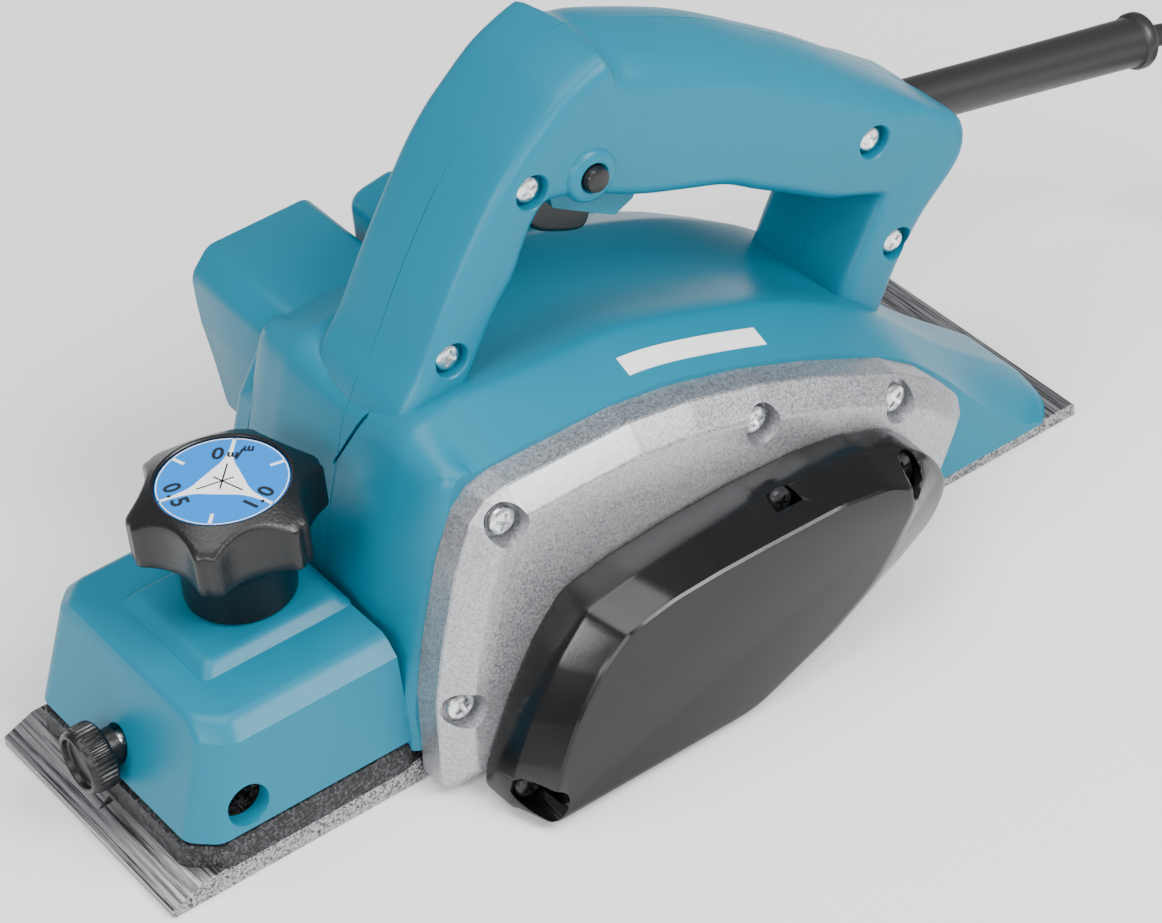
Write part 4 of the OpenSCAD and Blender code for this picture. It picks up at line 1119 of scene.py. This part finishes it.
def number(words, turn, reach, shift, size):
    """Figures on the dial, their tops towards its centre."""
    clear()
    bpy.ops.object.text_add()
    obj = bpy.context.object
    obj.data.body, obj.data.size = words, size * MM
    obj.data.align_x = "CENTER"
    obj.data.extrude, obj.data.offset = 0.03 * MM, 0.13 * MM
    obj.data.resolution_u = 3
    bpy.ops.object.convert(target="MESH")
    obj = bpy.context.object
    a = math.radians(turn)
    base = Vector(KNOB) + Vector((math.cos(a), math.sin(a), 0)) * (reach + size * 0.34)
    base += Vector((-math.sin(a), math.cos(a), 0)) * shift
    place = Matrix.Translation(at(base.x, base.y, 82.78)) @ Matrix.Rotation(a + math.pi / 2, 4, "Z")
    obj.data.transform(place)
    obj.matrix_world = Matrix.Identity(4)
    return obj


def make_thumb_wheel():
    """The knurled head of the clamp screw."""
    sizes = bpy.context.scene.planer_sizes
    ribs = sizes.knurls
    per_rib = 4
    count = ribs * per_rib
    rings = []
    for x, radius, rib in ((133, 5, 0), (136.4, 5, 0), (136.6, 7.4, 0), (136.7, 8.2, 0), (137.2, 8.7, 0.5),
                           (137.8, 8.95, 1), (141.8, 8.95, 1), (142.5, 8.7, 0.5), (142.9, 8.4, 0),
                           (143.7, 8.3, 0), (144.2, 7.9, 0), (144.4, 7.3, 0), (144.1, 6.9, 0),
                           (142.9, 6.6, 0), (142.5, 6.1, 0), (142.5, 0, 0)):
        ring = []
        for k in range(count):
            a = TAU * k / count
            dip = (0.42 if k % per_rib in (2, 3) else 0) * rib
            ring.append((x, (radius - dip) * math.cos(a), 21.5 + (radius - dip) * math.sin(a)))
        rings.append(ring)
    wheel = skin("knurled_wheel", rings)
    carve(wheel, turned("bore", [(0, 130), (3, 130), (3, 140.9), (0, 140.9)], (0, 0, 21.5), (1, 0, 0), 32))
    finish_piece(wheel, frame_slot("thumb_screw_head"), "thumb_screw", "thumb_screw_head",
                 material="black_plastic")


def make_controls():
    """The trigger paddle and the lock button."""
    line = flow([(10, 128), (6, 134), (0, 133.2), (-20, 128.5)], 3)[:-1] + \
        flow([(-20, 128.5), (-19.2, 120), (-17.2, 112.6), (-15.4, 109.6), (-12.5, 109.3), (-6, 112),
              (-1, 115), (3.5, 120.5), (10, 128)], 1.6)[:-1]
    paddle = prism("trigger_paddle", line, lip(-7.5, 7.5, 1.6), "y")
    carve(paddle, rod("pin_bore", (8, 0, 131), (0, 1, 0), 1.56, -10, 10))
    finish_piece(paddle, frame_slot("trigger"), "trigger", "trigger", material="black_plastic")
    button = turned("lock_push", [(0, 12.3), (4.6, 12.3), (4.6, 13.5), (3.45, 13.5), (3.45, 22.6),
                                  (3.1, 23.2), (2.3, 23.5), (0, 23.55)], BUTTON, (0, 1, 0), 40)
    finish_piece(button, frame_slot("lock_button"), "lock_button", "lock_button", material="black_plastic")


def make_label():
    """A blank sticker on the left flank of the deck."""
    rings = []
    for y, lift in ((32.2, -0.3), (32.2, 0.24), (34.8, 0.26), (37.4, 0.24), (37.4, -0.3)):
        ring = []
        for k in range(22):
            ring.append(deck_at(-46 + 42 * k / 21, y, lift))
        rings.append(ring)
    label = skin("rating_strip", [list(row) for row in zip(*rings)])
    finish_piece(label, "white_label", "housing", "rating_label")


def deck_at(x, y, lift):
    """The housing's top at an exact place, between the two nearest points of its outline."""
    line = [housing_point(*p, y, -lift) for p in housing_outline() if p[0] < 45]
    for a, b in zip(line, line[1:]):
        if b[0] <= x <= a[0]:
            t = (a[0] - x) / max(1e-9, a[0] - b[0])
            return (x, y, a[2] + (b[2] - a[2]) * t)
    return (x, y, line[0][2])


def dress_frame():
    """Gives every CAD node that stays in sight its procedural finish."""
    for part in frame["record"]["subparts"]:
        node = frame["nodes"][part["node"]]
        if not node.hide_render:
            node.data.materials.clear()
            node.data.materials.append(FINISHES[part["material_slot"]])


# ---------------------------------------------------------------- operators

class Maker(bpy.types.Operator):
    """Runs its makers in order, with the finishes made first"""
    bl_options = {"REGISTER", "UNDO"}
    makers = ()

    def execute(self, context):
        if not FINISHES:
            FINISHES.update(make_finishes())
        for make in type(self).makers:
            make()
        return {"FINISHED"}


class PLANER_OT_stage(Maker):
    """Camera, floor and studio light"""
    bl_idname, bl_label = "planer.stage", "Stage"
    makers = (make_stage,)


class PLANER_OT_cord(Maker):
    """Power cord with its plug, coil tie and rubber guard"""
    bl_idname, bl_label = "planer.cord", "Cord"
    makers = (make_cord, make_guard)


class PLANER_OT_housing(Maker):
    """Main moulding with its deck, motor barrel and label"""
    bl_idname, bl_label = "planer.housing", "Housing"
    makers = (make_housing, make_label)


class PLANER_OT_spout(Maker):
    """Chip duct on the right side"""
    bl_idname, bl_label = "planer.spout", "Chip spout"
    makers = (make_spout,)


class PLANER_OT_motor_end(Maker):
    """Slotted motor cover, its screws and the brush caps"""
    bl_idname, bl_label = "planer.motor_end", "Motor end"
    makers = (make_end_grille,)


class PLANER_OT_nose(Maker):
    """Two-part box over the front base"""
    bl_idname, bl_label = "planer.nose", "Nose box"
    makers = (make_nose,)


class PLANER_OT_handle(Maker):
    """Two-part D handle with its screws"""
    bl_idname, bl_label = "planer.handle", "Handle"
    makers = (make_handle,)


class PLANER_OT_bracket(Maker):
    """Cast side bracket with its screws"""
    bl_idname, bl_label = "planer.bracket", "Side bracket"
    makers = (make_bracket,)


class PLANER_OT_belt_cover(Maker):
    """Black belt cover with its screws"""
    bl_idname, bl_label = "planer.belt_cover", "Belt cover"
    makers = (make_belt_cover,)


class PLANER_OT_soles(Maker):
    """Rear sole plate and cast front base"""
    bl_idname, bl_label = "planer.soles", "Soles"
    makers = (make_soles,)


class PLANER_OT_knob(Maker):
    """Lobed depth knob and its dial"""
    bl_idname, bl_label = "planer.knob", "Depth knob"
    makers = (make_knob,)


class PLANER_OT_thumb_wheel(Maker):
    """Knurled clamp screw on the nose"""
    bl_idname, bl_label = "planer.thumb_wheel", "Thumb screw"
    makers = (make_thumb_wheel,)


class PLANER_OT_controls(Maker):
    """Trigger and lock button"""
    bl_idname, bl_label = "planer.controls", "Controls"
    makers = (make_controls,)


class PLANER_OT_dress(Maker):
    """Finishes for the frame's own pieces that stay in sight"""
    bl_idname, bl_label = "planer.dress", "Frame finishes"
    makers = (dress_frame,)


STEPS = (PLANER_OT_stage, PLANER_OT_cord, PLANER_OT_housing, PLANER_OT_spout, PLANER_OT_motor_end,
         PLANER_OT_nose,
         PLANER_OT_handle, PLANER_OT_bracket, PLANER_OT_belt_cover, PLANER_OT_soles, PLANER_OT_knob,
         PLANER_OT_thumb_wheel, PLANER_OT_controls, PLANER_OT_dress)


class PLANER_PT_panel(bpy.types.Panel):
    """Sizes, colours and makers of the planer"""
    bl_idname, bl_label = "PLANER_PT_panel", "Hand planer"
    bl_space_type, bl_region_type, bl_category = "VIEW_3D", "UI", "Planer"

    def draw(self, context):
        for group in (context.scene.planer_sizes, context.scene.planer_colours):
            for key in group.__annotations__:
                self.layout.prop(group, key)
        for step in STEPS:
            self.layout.operator(step.bl_idname)


CLASSES = (PlanerSizes, PlanerColours, *STEPS, PLANER_PT_panel)


def register():
    for cls in CLASSES:
        bpy.utils.register_class(cls)
    bpy.types.Scene.planer_sizes = PointerProperty(type=PlanerSizes)
    bpy.types.Scene.planer_colours = PointerProperty(type=PlanerColours)


def unregister():
    del bpy.types.Scene.planer_colours
    del bpy.types.Scene.planer_sizes
    for cls in reversed(CLASSES):
        bpy.utils.unregister_class(cls)


def main():
    register()
    for step in STEPS:
        getattr(bpy.ops.planer, step.bl_idname.split(".")[1])()


if __name__ == "__main__":
    main()
